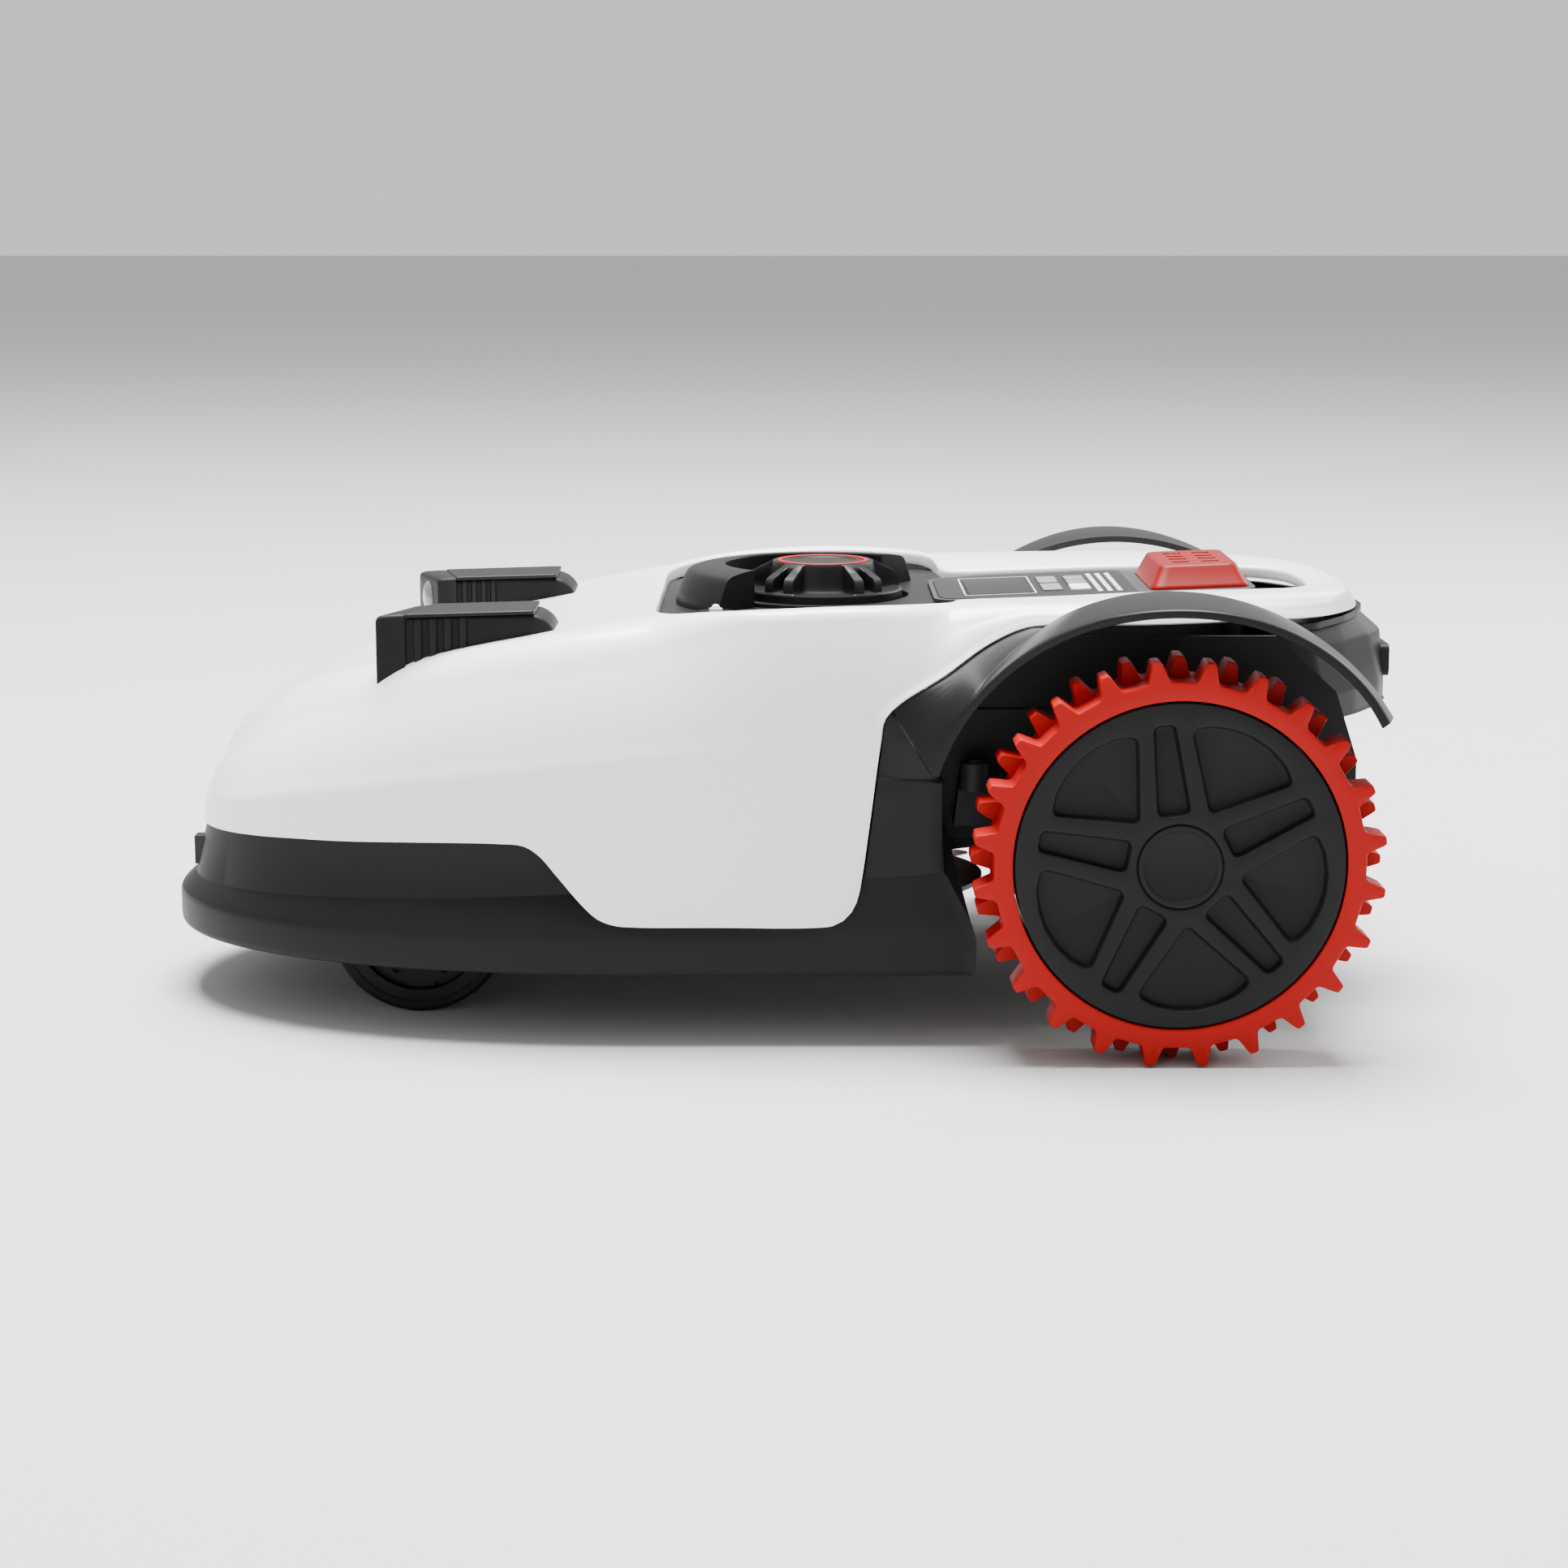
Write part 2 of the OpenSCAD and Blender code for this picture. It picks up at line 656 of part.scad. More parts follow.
module main_board() {
  color("#1f5c34") translate([120, -70, 128]) cube([120, 140, 1.6]);
  color("#222222") for (c = board_chips) translate([c[0], c[1], 129.6]) cube([c[2], c[3], 6]);
  color("#bbbbbb") for (x = [124, 234], y = [-64, 64])
    translate([x, y, tray_z + tray_t]) cylinder(r = 3, h = 10);
}

module wheel_motor() {
  color("#6d7074") difference() {
    union() {
      rod_y(axle_x, axle_z, 28, 108, side_y - 3.1);
      rod_y(axle_x + 30, axle_z + 8, 18, 112, 140);
      translate([axle_x - 12, 116, axle_z - 26]) cube([60, 26, 50]);
    }
    rod_y(axle_x, axle_z, shaft_r + running, 100, 160);
  }
}

module wheel_bearing() {
  in_r = shaft_r + running;
  color("#b9bcc0") turned_y(axle_x, axle_z, [[in_r, 162], [17, 162], [17, 172], [in_r, 172]]);
}

module caster_socket() {
  color("#8b8d90") difference() {
    translate([swivel_x, swivel_y, tray_z]) cylinder(r = 16, h = 31);
    translate([swivel_x, swivel_y, tray_z - 5]) cylinder(r = stem_r + running, h = 50);
  }
}

guide_spots = [[-88, 0], [8, 0]];

module lift_guides() {
  color("#c9ccd0") for (g = guide_spots) translate([g[0], g[1], tray_z + tray_t]) cylinder(r = 5, h = 118);
  color("#5a5c5f") for (g = guide_spots) translate([g[0], g[1], 0]) difference() {
    translate([-9, -14, tray_z + tray_t]) cube([18, 28, 1.6]);
    translate([0, 0, 100]) cylinder(r = 4, h = 30);
  }
}

module charge_pads() {
  for (s = [-1, 1]) translate([364, s * 22 - 6, 77]) cube([6.4, 12, 18]);
}

module charge_contacts() {
  color("#d8c28a") charge_pads();
}

// Places its children at each housing screw's head
module at_screws() {
  for (x = [-70, 20, 110], s = [-1, 1]) translate([x, s * 150, tray_z - 2.2]) children();
}

module housing_screws() {
  color("#8f9296") at_screws() {
    cylinder(r = 4.2, h = 2.2);
    translate([0, 0, 2]) cylinder(r = 2, h = 6);
  }
}

mount_spots = [[110, 130, 34], [-130, 112, 44]];

module cover_mounts() {
  color("#1c1c1d") for (p = mount_spots, s = [-1, 1]) translate([p[0], s * p[1], tray_z + tray_t]) {
    cylinder(r = 9, h = 62 + p[2]);
    translate([0, 0, 62 + p[2]]) rotate_extrude()
      polygon([[0, 0], [11, 0], [7, 6], [10, 12], [7, 18], [8, 24], [0, 24]]);
  }
}

// ---- drive wheels ----

disc_spoke_step = 72;
big_recess_at = 46.5;
small_recess_at = 10.5;

big_recess = rounded([polar(35, -20), polar(80, -22.5), polar(82.5, -11), polar(83.5, 0), polar(82.5, 11),
                      polar(80, 22.5), polar(35, 20)], 3.5);
small_recess = rounded([[28, -10], [81, -6.5], [81, 6.5], [28, 10]], 4);

module wheel_rim() {
  face = wheel_face_y;
  color("#2f2f30") difference() {
    turned_y(axle_x, axle_z, [[shaft_r, face - 46], [20, face - 46], [20, face - 12], [rim_r - 5, face - 12],
      [rim_r - 5, tyre_in_y], [rim_r, tyre_in_y], [rim_r, face - 0.8], [rim_r - 1.2, face], [25.5, face],
      [25.5, face - 6], [shaft_r, face - 6]]);
    for (i = [0 : 4]) translate([axle_x, 0, axle_z]) rotate([0, -disc_spoke_step * i, 0]) {
      plate_y(face - 7, face + 1) rotate(big_recess_at) polygon(big_recess);
      plate_y(face - 7, face + 1) rotate(small_recess_at) polygon(small_recess);
    }
  }
}

// Outline of one row of lugs
function lug_row(phase) = [
  for (i = [0 : lug_count - 1]) let (a = phase + 360 / lug_count * i)
    each [polar(root_r, a - 5.2), polar(root_r, a - 3.3), polar(root_r + 2.6, a - 2.7),
          polar(wheel_r - 1.6, a - 1.35), polar(wheel_r, a - 0.7), polar(wheel_r, a + 0.7),
          polar(wheel_r - 1.6, a + 1.35), polar(root_r + 2.6, a + 2.7), polar(root_r, a + 3.3),
          polar(root_r, a + 5.2)]
];

module tyre() {
  mid = tyre_in_y + tyre_w / 2;
  color("#e02b2b") difference() {
    translate([axle_x, 0, axle_z]) union() {
      plate_y(mid - 1, wheel_face_y - 0.6) polygon(lug_row(7.5));
      plate_y(tyre_in_y, mid - 1) polygon(lug_row(0));
    }
    rod_y(axle_x, axle_z, rim_r, tyre_in_y - 1, wheel_face_y + 1);
  }
}

module hub_cap() {
  color("#313132") turned_y(axle_x, axle_z, [[0, wheel_face_y - 5.9], [23.8, wheel_face_y - 5.9],
    [23.8, wheel_face_y - 2.4], [21, wheel_face_y + 0.4], [0, wheel_face_y + 0.4]]);
}

module drive_shaft() {
  color("#c2c5c9") rod_y(axle_x, axle_z, shaft_r, 106, wheel_face_y - 6);
}

// ---- casters ----

module caster_fork() {
  wx = swivel_x - trail;
  inner = swivel_y - caster_w / 2;
  crown_z = caster_r * 2 + 1;
  color("#2b2b2c") {
    translate([swivel_x, swivel_y, crown_z + 2.9]) cylinder(r = 22, h = 1.8);
    translate([swivel_x, swivel_y, crown_z + 1]) cylinder(r = stem_r, h = 36);
    difference() {
      union() {
        plate_y(inner - 7.2, inner - 1.2) hull() {
          translate([wx, caster_r]) circle(r = 11, $fn = 32);
          translate([wx - 9, crown_z - 2]) square([34, 5]);
        }
        translate([wx - 9, inner - 7.2, crown_z]) cube([34, 32, 3]);
      }
      rod_y(wx, caster_r, 5, inner - 8, inner);
    }
  }
  color("#b4b7bb") rod_y(wx, caster_r, 5, inner - 7.2, swivel_y + caster_w / 2 - 1);
}

module caster_rim() {
  wx = swivel_x - trail;
  y0 = swivel_y - caster_w / 2;
  y1 = swivel_y + caster_w / 2;
  color("#262627") difference() {
    turned_y(wx, caster_r, [[5 + running, y0 + 1], [14, y0 + 1], [14, y0 + 4], [38, y0 + 4], [38, y0 + 1],
      [47, y0 + 1], [47, y1 - 1], [40, y1 - 1], [38.5, y1 - 4], [22, y1 - 4], [22, y1 - 1.6],
      [5 + running, y1 - 1.6]]);
    for (i = [0 : 2]) translate([wx, 0, caster_r]) rotate([0, 120 * i + 90, 0]) {
      plate_y(y1 - 7, y1) rotate(60) polygon(concat([for (k = [-5 : 5]) polar(36.2, 9.4 * k)],
                                                     [for (k = [5 : -1 : -5]) polar(39.8, 9.4 * k)]));
      for (a = [28, 92]) rotate([0, -a, 0]) rod_y(31, 0, 2.6, y1 - 7, y1);
    }
  }
  color("#a5a79f")
    turned_y(wx, caster_r, [[17, y1 - 2], [22, y1 - 2], [22, y1 - 0.6], [17, y1 - 0.6]]);
}

module caster_tyre() {
  wx = swivel_x - trail;
  y0 = swivel_y - caster_w / 2;
  y1 = swivel_y + caster_w / 2;
  color("#1b1b1c") turned_y(wx, caster_r, [[47, y0], [51, y0], [53.4, y0 + 3], [caster_r, y0 + 7],
    [caster_r, y1 - 7], [53.4, y1 - 3], [51, y1], [47, y1]]);
}

// ---- cutting deck ----

carriage_z = 150;
nut_top = 205;
screw_r = 6;

module cutter_carriage() {
  color("#4a4c4f") difference() {
    union() {
      translate([cutter_x, 0, carriage_z]) linear_extrude(8) round_rect(150, 60, 14);
      translate([cutter_x, 0, 120]) cylinder(r = 37, h = 38);
      for (g = guide_spots) translate([g[0], g[1], carriage_z]) cylinder(r = 11, h = 30);
      translate([knob_x, 0, carriage_z]) cylinder(r = 12, h = nut_top - carriage_z);
    }
    translate([cutter_x, 0, 110]) cylinder(r = 33, h = blade_z + 86 - 110);
    for (g = guide_spots) translate([g[0], g[1], 110]) cylinder(r = 5 + running, h = 100);
    translate([knob_x, 0, 153]) cylinder(r = screw_r + 0.35, h = 60);
  }
}

module cutter_motor() {
  color("#7a7d81") difference() {
    translate([cutter_x, 0, blade_z + 24]) cylinder(r = 33, h = 62);
    translate([cutter_x, 0, blade_z + 20]) cylinder(r = 4 + running, h = 40);
  }
}

module cutter_disc() {
  color("#3a3b3d") difference() {
    union() {
      translate([cutter_x, 0, blade_z + 1.6]) rotate_extrude()
        polygon([[0, 0], [disc_r, 0], [disc_r, 3], [60, 3], [46, 10], [30, 10], [16, 12], [16, 16], [0, 16]]);
      translate([cutter_x, 0, blade_z + 10]) cylinder(r = 4, h = 44);
    }
    for (i = [0 : 2]) {
      at_blade(i) translate([0, 0, -5]) cylinder(r = 2.25, h = 20);
      translate([cutter_x, 0, blade_z - 5]) rotate([0, 0, blade_at + 60 + 120 * i]) translate([66, 0, 0])
        linear_extrude(20) round_rect(16, 34, 6);
    }
  }
}

// Places its children at a blade's pivot, with X pointing outwards
module at_blade(i) {
  translate([cutter_x, 0, blade_z]) rotate([0, 0, blade_at + 120 * i]) translate([pivot_r, 0, 0]) children();
}

module blade(i) {
  corners = [[-8, -9], [blade_len - 5, -9], [blade_len, -4], [blade_len, 4], [blade_len - 5, 9], [-8, 9]];
  color("#c8cbce") at_blade(i) difference() {
    linear_extrude(0.8) polygon(rounded(corners, 2));
    translate([0, 0, -1]) cylinder(r = 3.05, h = 4);
  }
}

module blade_screws() {
  color("#9ea1a5") for (i = [0 : 2]) at_blade(i) {
    translate([0, 0, -2.6]) cylinder(r = 5, h = 2.2);
    translate([0, 0, -0.5]) cylinder(r = 3, h = 2.1);
    translate([0, 0, 1.5]) cylinder(r = 2.2, h = 5.6);
  }
}

chassis_tray();
front_skirt();
fender();  // fender_left
on_side(-1) fender();  // fender_right
rear_housing();
tail_plate();
centre_deck();
knob_dome();
panel_housing();
panel_face();
display_window();
rain_sensor();
battery_pack();
battery_door();
main_board();
wheel_motor();  // wheel_motor_left
on_side(-1) wheel_motor();  // wheel_motor_right
union() { wheel_bearing(); on_side(-1) wheel_bearing(); }  // wheel_bearings
union() { caster_socket(); on_side(-1) caster_socket(); }  // caster_sockets
lift_guides();
charge_contacts();
housing_screws();
cover_mounts();
top_cover();
sensor_pod();  // sensor_pod_left
on_side(-1) sensor_pod();  // sensor_pod_right
sensor_lens();  // sensor_lens_left
on_side(-1) sensor_lens();  // sensor_lens_right
wheel_rim();  // wheel_rim_left
tyre();  // tyre_left
hub_cap();  // hub_cap_left
drive_shaft();  // drive_shaft_left
on_side(-1) wheel_rim();  // wheel_rim_right
on_side(-1) tyre();  // tyre_right
on_side(-1) hub_cap();  // hub_cap_right
on_side(-1) drive_shaft();  // drive_shaft_right
caster_fork();  // caster_fork_left
caster_rim();  // caster_rim_left
caster_tyre();  // caster_tyre_left
on_side(-1) caster_fork();  // caster_fork_right
on_side(-1) caster_rim();  // caster_rim_right
on_side(-1) caster_tyre();  // caster_tyre_right
height_knob();
knob_ring();
cutter_carriage();
cutter_motor();
cutter_disc();
blade(0);  // blade_a
blade(1);  // blade_b
blade(2);  // blade_c
blade_screws();
stop_button();
key_cap(0);  // key_menu
key_cap(1);  // key_back
key_cap(2);  // key_start
key_cap(3);  // key_up
key_cap(4);  // key_down
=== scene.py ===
# Looks of the robotic lawn mower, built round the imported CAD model. Lengths in the builders are
# millimetres in the part's frame: +X forward, +Y left, +Z up. They become metres in piece().
import json
import math

import bmesh
import bpy
import numpy as np
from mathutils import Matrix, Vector, geometry


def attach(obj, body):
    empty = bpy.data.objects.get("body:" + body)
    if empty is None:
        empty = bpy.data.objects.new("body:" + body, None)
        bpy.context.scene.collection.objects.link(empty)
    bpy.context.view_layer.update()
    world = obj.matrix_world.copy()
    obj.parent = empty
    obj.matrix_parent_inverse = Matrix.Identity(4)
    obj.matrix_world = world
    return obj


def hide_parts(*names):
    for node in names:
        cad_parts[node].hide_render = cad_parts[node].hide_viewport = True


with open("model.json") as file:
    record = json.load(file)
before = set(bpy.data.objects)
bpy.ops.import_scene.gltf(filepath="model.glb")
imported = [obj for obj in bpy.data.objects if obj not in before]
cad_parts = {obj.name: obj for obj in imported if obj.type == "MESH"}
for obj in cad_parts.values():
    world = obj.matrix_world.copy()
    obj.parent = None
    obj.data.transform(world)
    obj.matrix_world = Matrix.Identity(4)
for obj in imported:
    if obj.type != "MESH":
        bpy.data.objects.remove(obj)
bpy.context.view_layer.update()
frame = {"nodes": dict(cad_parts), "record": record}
MM = 0.001
WELD = 0.004  # points of a piece that are nearer than this, in mm, become one
PER_SPAN = 24  # samples between two given points of a smooth path
SIDES = ((1, "left"), (-1, "right"))


# ---------------------------------------------------------------- curves and outlines

def curve_through(points):
    """A function through (x, value) pairs with no overshoot."""
    pairs = sorted(points)
    xs = np.array([p[0] for p in pairs], float)
    ys = np.array([p[1] for p in pairs], float)
    step = np.diff(xs)
    rise = np.diff(ys) / step
    slope = np.zeros(len(xs))
    slope[0], slope[-1] = rise[0], rise[-1]
    for i in range(1, len(xs) - 1):
        if rise[i - 1] * rise[i] > 0:
            w0, w1 = 2 * step[i] + step[i - 1], step[i] + 2 * step[i - 1]
            slope[i] = (w0 + w1) / (w0 / rise[i - 1] + w1 / rise[i])

    def value(x):
        x = min(max(x, xs[0]), xs[-1])
        i = min(int(np.searchsorted(xs, x, side="right")) - 1, len(step) - 1)
        h = step[i]
        t = (x - xs[i]) / h
        return (ys[i] * (1 + 2 * t) * (1 - t) ** 2 + h * slope[i] * t * (1 - t) ** 2
                + ys[i + 1] * t * t * (3 - 2 * t) + h * slope[i + 1] * t * t * (t - 1))

    return value


def dense_path(points, per_span=PER_SPAN):
    """A smooth path through the points, finely sampled, with the index of each given point."""
    p = np.array(points, float)
    t = np.concatenate([[0], np.cumsum(np.linalg.norm(np.diff(p, axis=0), axis=1) ** 0.5)])
    m = np.gradient(p, t, axis=0)
    out = []
    for i in range(len(p) - 1):
        h = t[i + 1] - t[i]
        for k in range(per_span):
            s = k / per_span
            out.append(p[i] * (1 + 2 * s) * (1 - s) ** 2 + h * m[i] * s * (1 - s) ** 2
                       + p[i + 1] * s * s * (3 - 2 * s) + h * m[i + 1] * s * s * (s - 1))
    out.append(p[-1])
    return np.array(out)


def resample(path, count):
    """count + 1 points evenly spaced along a polyline."""
    path = np.asarray(path, float)
    run = np.concatenate([[0], np.cumsum(np.linalg.norm(np.diff(path, axis=0), axis=1))])
    at = np.linspace(0, run[-1], count + 1)
    return np.stack([np.interp(at, run, path[:, k]) for k in range(path.shape[1])], 1)


def arc_corner(a, corner, b, radius, parts=4):
    """Points that round a corner, from radius before it to radius after it."""
    a, corner, b = (np.asarray(p, float) for p in (a, corner, b))
    start = corner + (a - corner) / max(np.linalg.norm(a - corner), 1e-9) * radius
    end = corner + (b - corner) / max(np.linalg.norm(b - corner), 1e-9) * radius
    return [(1 - t) ** 2 * start + 2 * t * (1 - t) * corner + t * t * end
            for t in np.linspace(0, 1, parts + 1)]


def rounded(points, radius, parts=5):
    """A closed outline with every corner rounded. radius is one number or one for each corner."""
    n = len(points)
    out = []
    for i in range(n):
        r = radius[i] if hasattr(radius, "__len__") else radius
        if r <= 0:
            out.append(np.asarray(points[i], float))
        else:
            out += arc_corner(points[i - 1], points[i], points[(i + 1) % n], r, parts)
    return out


def polar(r, degrees):
    """The x and y of a point at a radius and an angle."""
    return (r * math.cos(math.radians(degrees)), r * math.sin(math.radians(degrees)))


def offset_loop(points, distance):
    """Moves a closed 2D outline outwards by distance. The outline runs anticlockwise."""
    p = np.asarray(points, float)
    before, after = np.roll(p, 1, 0), np.roll(p, -1, 0)
    d0, d1 = p - before, after - p
    n0 = np.stack([d0[:, 1], -d0[:, 0]], 1)
    n1 = np.stack([d1[:, 1], -d1[:, 0]], 1)
    n0 /= np.maximum(np.linalg.norm(n0, axis=1, keepdims=True), 1e-9)
    n1 /= np.maximum(np.linalg.norm(n1, axis=1, keepdims=True), 1e-9)
    n = n0 + n1
    n /= np.maximum((n * n).sum(1, keepdims=True), 0.4) / 2
    return p + n * distance


# ---------------------------------------------------------------- meshes

def inside(point, loop):
    """Whether a 2D point is inside a closed outline."""
    odd = False
    for i in range(len(loop)):
        (x0, y0), (x1, y1) = loop[i - 1], loop[i]
        crosses = (y0 > point[1]) != (y1 > point[1])
        if crosses and point[0] < x0 + (x1 - x0) * (point[1] - y0) / (y1 - y0):
            odd = not odd
    return odd


def grid_faces(rows, cols, close_rows, close_cols):
    """Quads between the points of a grid, counted row by row."""
    faces = []
    for i in range(rows if close_rows else rows - 1):
        for j in range(cols if close_cols else cols - 1):
            k, m = (i + 1) % rows, (j + 1) % cols
            faces.append((i * cols + j, i * cols + m, k * cols + m, k * cols + j))
    return faces


class Shape:
    """Collects points and faces for one piece."""

    def __init__(self):
        self.points, self.faces = [], []

    def add(self, points, faces):
        start = len(self.points)
        self.points += [tuple(float(c) for c in p) for p in points]
        self.faces += [tuple(start + i for i in f) for f in faces]
        return self

    def grid(self, rows, close_rows=False, close_cols=False):
        n, m = len(rows), len(rows[0])
        return self.add([p for row in rows for p in row], grid_faces(n, m, close_rows, close_cols))

    def cap(self, loop):
        return self.add(loop, [tuple(range(len(loop)))])

    def tube(self, loops):
        """Skins closed loops one after another and closes the two ends."""
        self.grid(loops, close_cols=True)
        self.cap(loops[0])
        return self.cap(loops[-1])

    def turned(self, profile, parts, lift, **closed):
        """Turns (radius, height) points about Z; lift places an (x, y, z) point in the part's frame."""
        rows = [[lift(*polar(r, 360 * k / parts), z) for k in range(parts)] for r, z in profile]
        return self.grid(rows, close_cols=True, **closed)

    def flat(self, outer, holes, lift):
        """A flat face with an outline and holes; lift places its 2D points in the part's frame."""
        loops = [outer] + list(holes)
        coords, edges = [], []
        for loop in loops:
            start = len(coords)
            coords += [Vector((float(p[0]), float(p[1]))) for p in loop]
            edges += [(start + i, start + (i + 1) % len(loop)) for i in range(len(loop))]
        verts, _, faces, *_ = geometry.delaunay_2d_cdt(coords, edges, [], 1, 1e-5)
        kept = []
        for f in faces:
            middle = sum((verts[i] for i in f), Vector((0, 0))) / len(f)
            if not any(inside(middle, hole) for hole in holes):
                kept.append(tuple(f))
        return self.add([lift(v.x, v.y) for v in verts], kept)


def piece(name, shape, body, slot, *replaced, sharp):
    """Makes the object for a Shape, with smooth shading up to a sharp angle in degrees."""
    mesh = bpy.data.meshes.new(name)
    mesh.from_pydata([[c * MM for c in p] for p in shape.points], [], shape.faces)
    bm = bmesh.new()
    bm.from_mesh(mesh)
    bmesh.ops.remove_doubles(bm, verts=bm.verts, dist=WELD * MM)
    bmesh.ops.recalc_face_normals(bm, faces=bm.faces)
    bm.to_mesh(mesh)
    bm.free()
    mesh.shade_smooth()
    mesh.set_sharp_from_angle(angle=math.radians(sharp))
    obj = bpy.data.objects.new(name, mesh)
    bpy.context.scene.collection.objects.link(obj)
    obj.data.materials.append(MATERIALS[slot])
    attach(obj, body)
    if replaced:
        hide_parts(*replaced)
    return obj


def thicken(obj, depth):
    """Gives a skin a wall behind it, with softened edges."""
    wall = obj.modifiers.new("wall", "SOLIDIFY")
    wall.thickness = depth * MM
    wall.offset = -1
    wall.use_even_offset = True
    soften(obj, 0.5, 60)


def soften(obj, width, angle, parts=2):
    """Rounds the edges that turn by more than an angle in degrees."""
    edge = obj.modifiers.new("edge", "BEVEL")
    edge.width = width * MM
    edge.segments = parts
    edge.limit_method = "ANGLE"
    edge.angle_limit = math.radians(angle)


# ---------------------------------------------------------------- materials

COAT_ROUGHNESS = 0.12
CLOUD_SCALE = 9  # blotches in a metre
HIGHLIGHT_FROM, HIGHLIGHT_TO = 0.52, 0.60  # how sharp an edge is where its painted highlight starts and where it is full
GRAIN_DEPTH = 0.00005  # metres


def grey(value):
    return (value, value, value)


def material(name, colour, roughness, grain=0.0, grain_size=0.6, coat=0.0, metallic=0.0, blotch=0.05,
             edge_highlight=0.0, rough_spread=0.06, specular=0.5):
    """A moulded or machined finish: grain for bump, blotches in colour and gloss, and sharp edges painted paler
    as a painted highlight.

    grain is the bump's strength and grain_size its size in millimetres."""
    mat = bpy.data.materials.new(name)
    mat.use_nodes = True
    nodes, links = mat.node_tree.nodes, mat.node_tree.links
    shader = nodes["Principled BSDF"]
    shader.inputs["Metallic"].default_value = metallic
    shader.inputs["Specular IOR Level"].default_value = specular
    shader.inputs["Coat Weight"].default_value = coat
    shader.inputs["Coat Roughness"].default_value = COAT_ROUGHNESS
    place = nodes.new("ShaderNodeTexCoord")
    cloud = nodes.new("ShaderNodeTexNoise")
    cloud.inputs["Scale"].default_value = CLOUD_SCALE
    cloud.inputs["Detail"].default_value = 3
    links.new(place.outputs["Object"], cloud.inputs["Vector"])
    tint = nodes.new("ShaderNodeMix")
    tint.data_type = "RGBA"
    tint.inputs[6].default_value = (*[c * (1 - blotch) for c in colour], 1)
    tint.inputs[7].default_value = (*[min(1, c * (1 + blotch)) for c in colour], 1)
    links.new(cloud.outputs["Fac"], tint.inputs[0])
    colour_out = tint.outputs[2]
    # Sharp edges get a paler colour through their pointiness: a painted highlight along the edges.
    if edge_highlight:
        shape = nodes.new("ShaderNodeNewGeometry")
        highlight_mask = nodes.new("ShaderNodeMapRange")
        highlight_mask.inputs["From Min"].default_value = HIGHLIGHT_FROM
        highlight_mask.inputs["From Max"].default_value = HIGHLIGHT_TO
        links.new(shape.outputs["Pointiness"], highlight_mask.inputs["Value"])
        fade = nodes.new("ShaderNodeMath")
        fade.operation = "MULTIPLY"
        fade.inputs[1].default_value = edge_highlight
        links.new(highlight_mask.outputs["Result"], fade.inputs[0])
        edge = nodes.new("ShaderNodeMix")
        edge.data_type = "RGBA"
        links.new(fade.outputs["Value"], edge.inputs[0])
        links.new(colour_out, edge.inputs[6])
        # the paler colour of the painted edge highlight
        edge.inputs[7].default_value = (*[min(1, c * 1.6 + 0.05) for c in colour], 1)
        colour_out = edge.outputs[2]
    links.new(colour_out, shader.inputs["Base Color"])
    gloss = nodes.new("ShaderNodeMapRange")
    gloss.inputs["To Min"].default_value = max(0.02, roughness - rough_spread)
    gloss.inputs["To Max"].default_value = min(1, roughness + rough_spread)
    links.new(cloud.outputs["Fac"], gloss.inputs["Value"])
    links.new(gloss.outputs["Result"], shader.inputs["Roughness"])
    if grain:
        fine = nodes.new("ShaderNodeTexNoise")
        fine.inputs["Scale"].default_value = 1 / (grain_size * MM)
        fine.inputs["Detail"].default_value = 2
        links.new(place.outputs["Object"], fine.inputs["Vector"])
        bump = nodes.new("ShaderNodeBump")
        bump.inputs["Strength"].default_value = min(1, grain)
        bump.inputs["Distance"].default_value = GRAIN_DEPTH
        links.new(fine.outputs["Fac"], bump.inputs["Height"])
        links.new(bump.outputs["Normal"], shader.inputs["Normal"])
    return mat
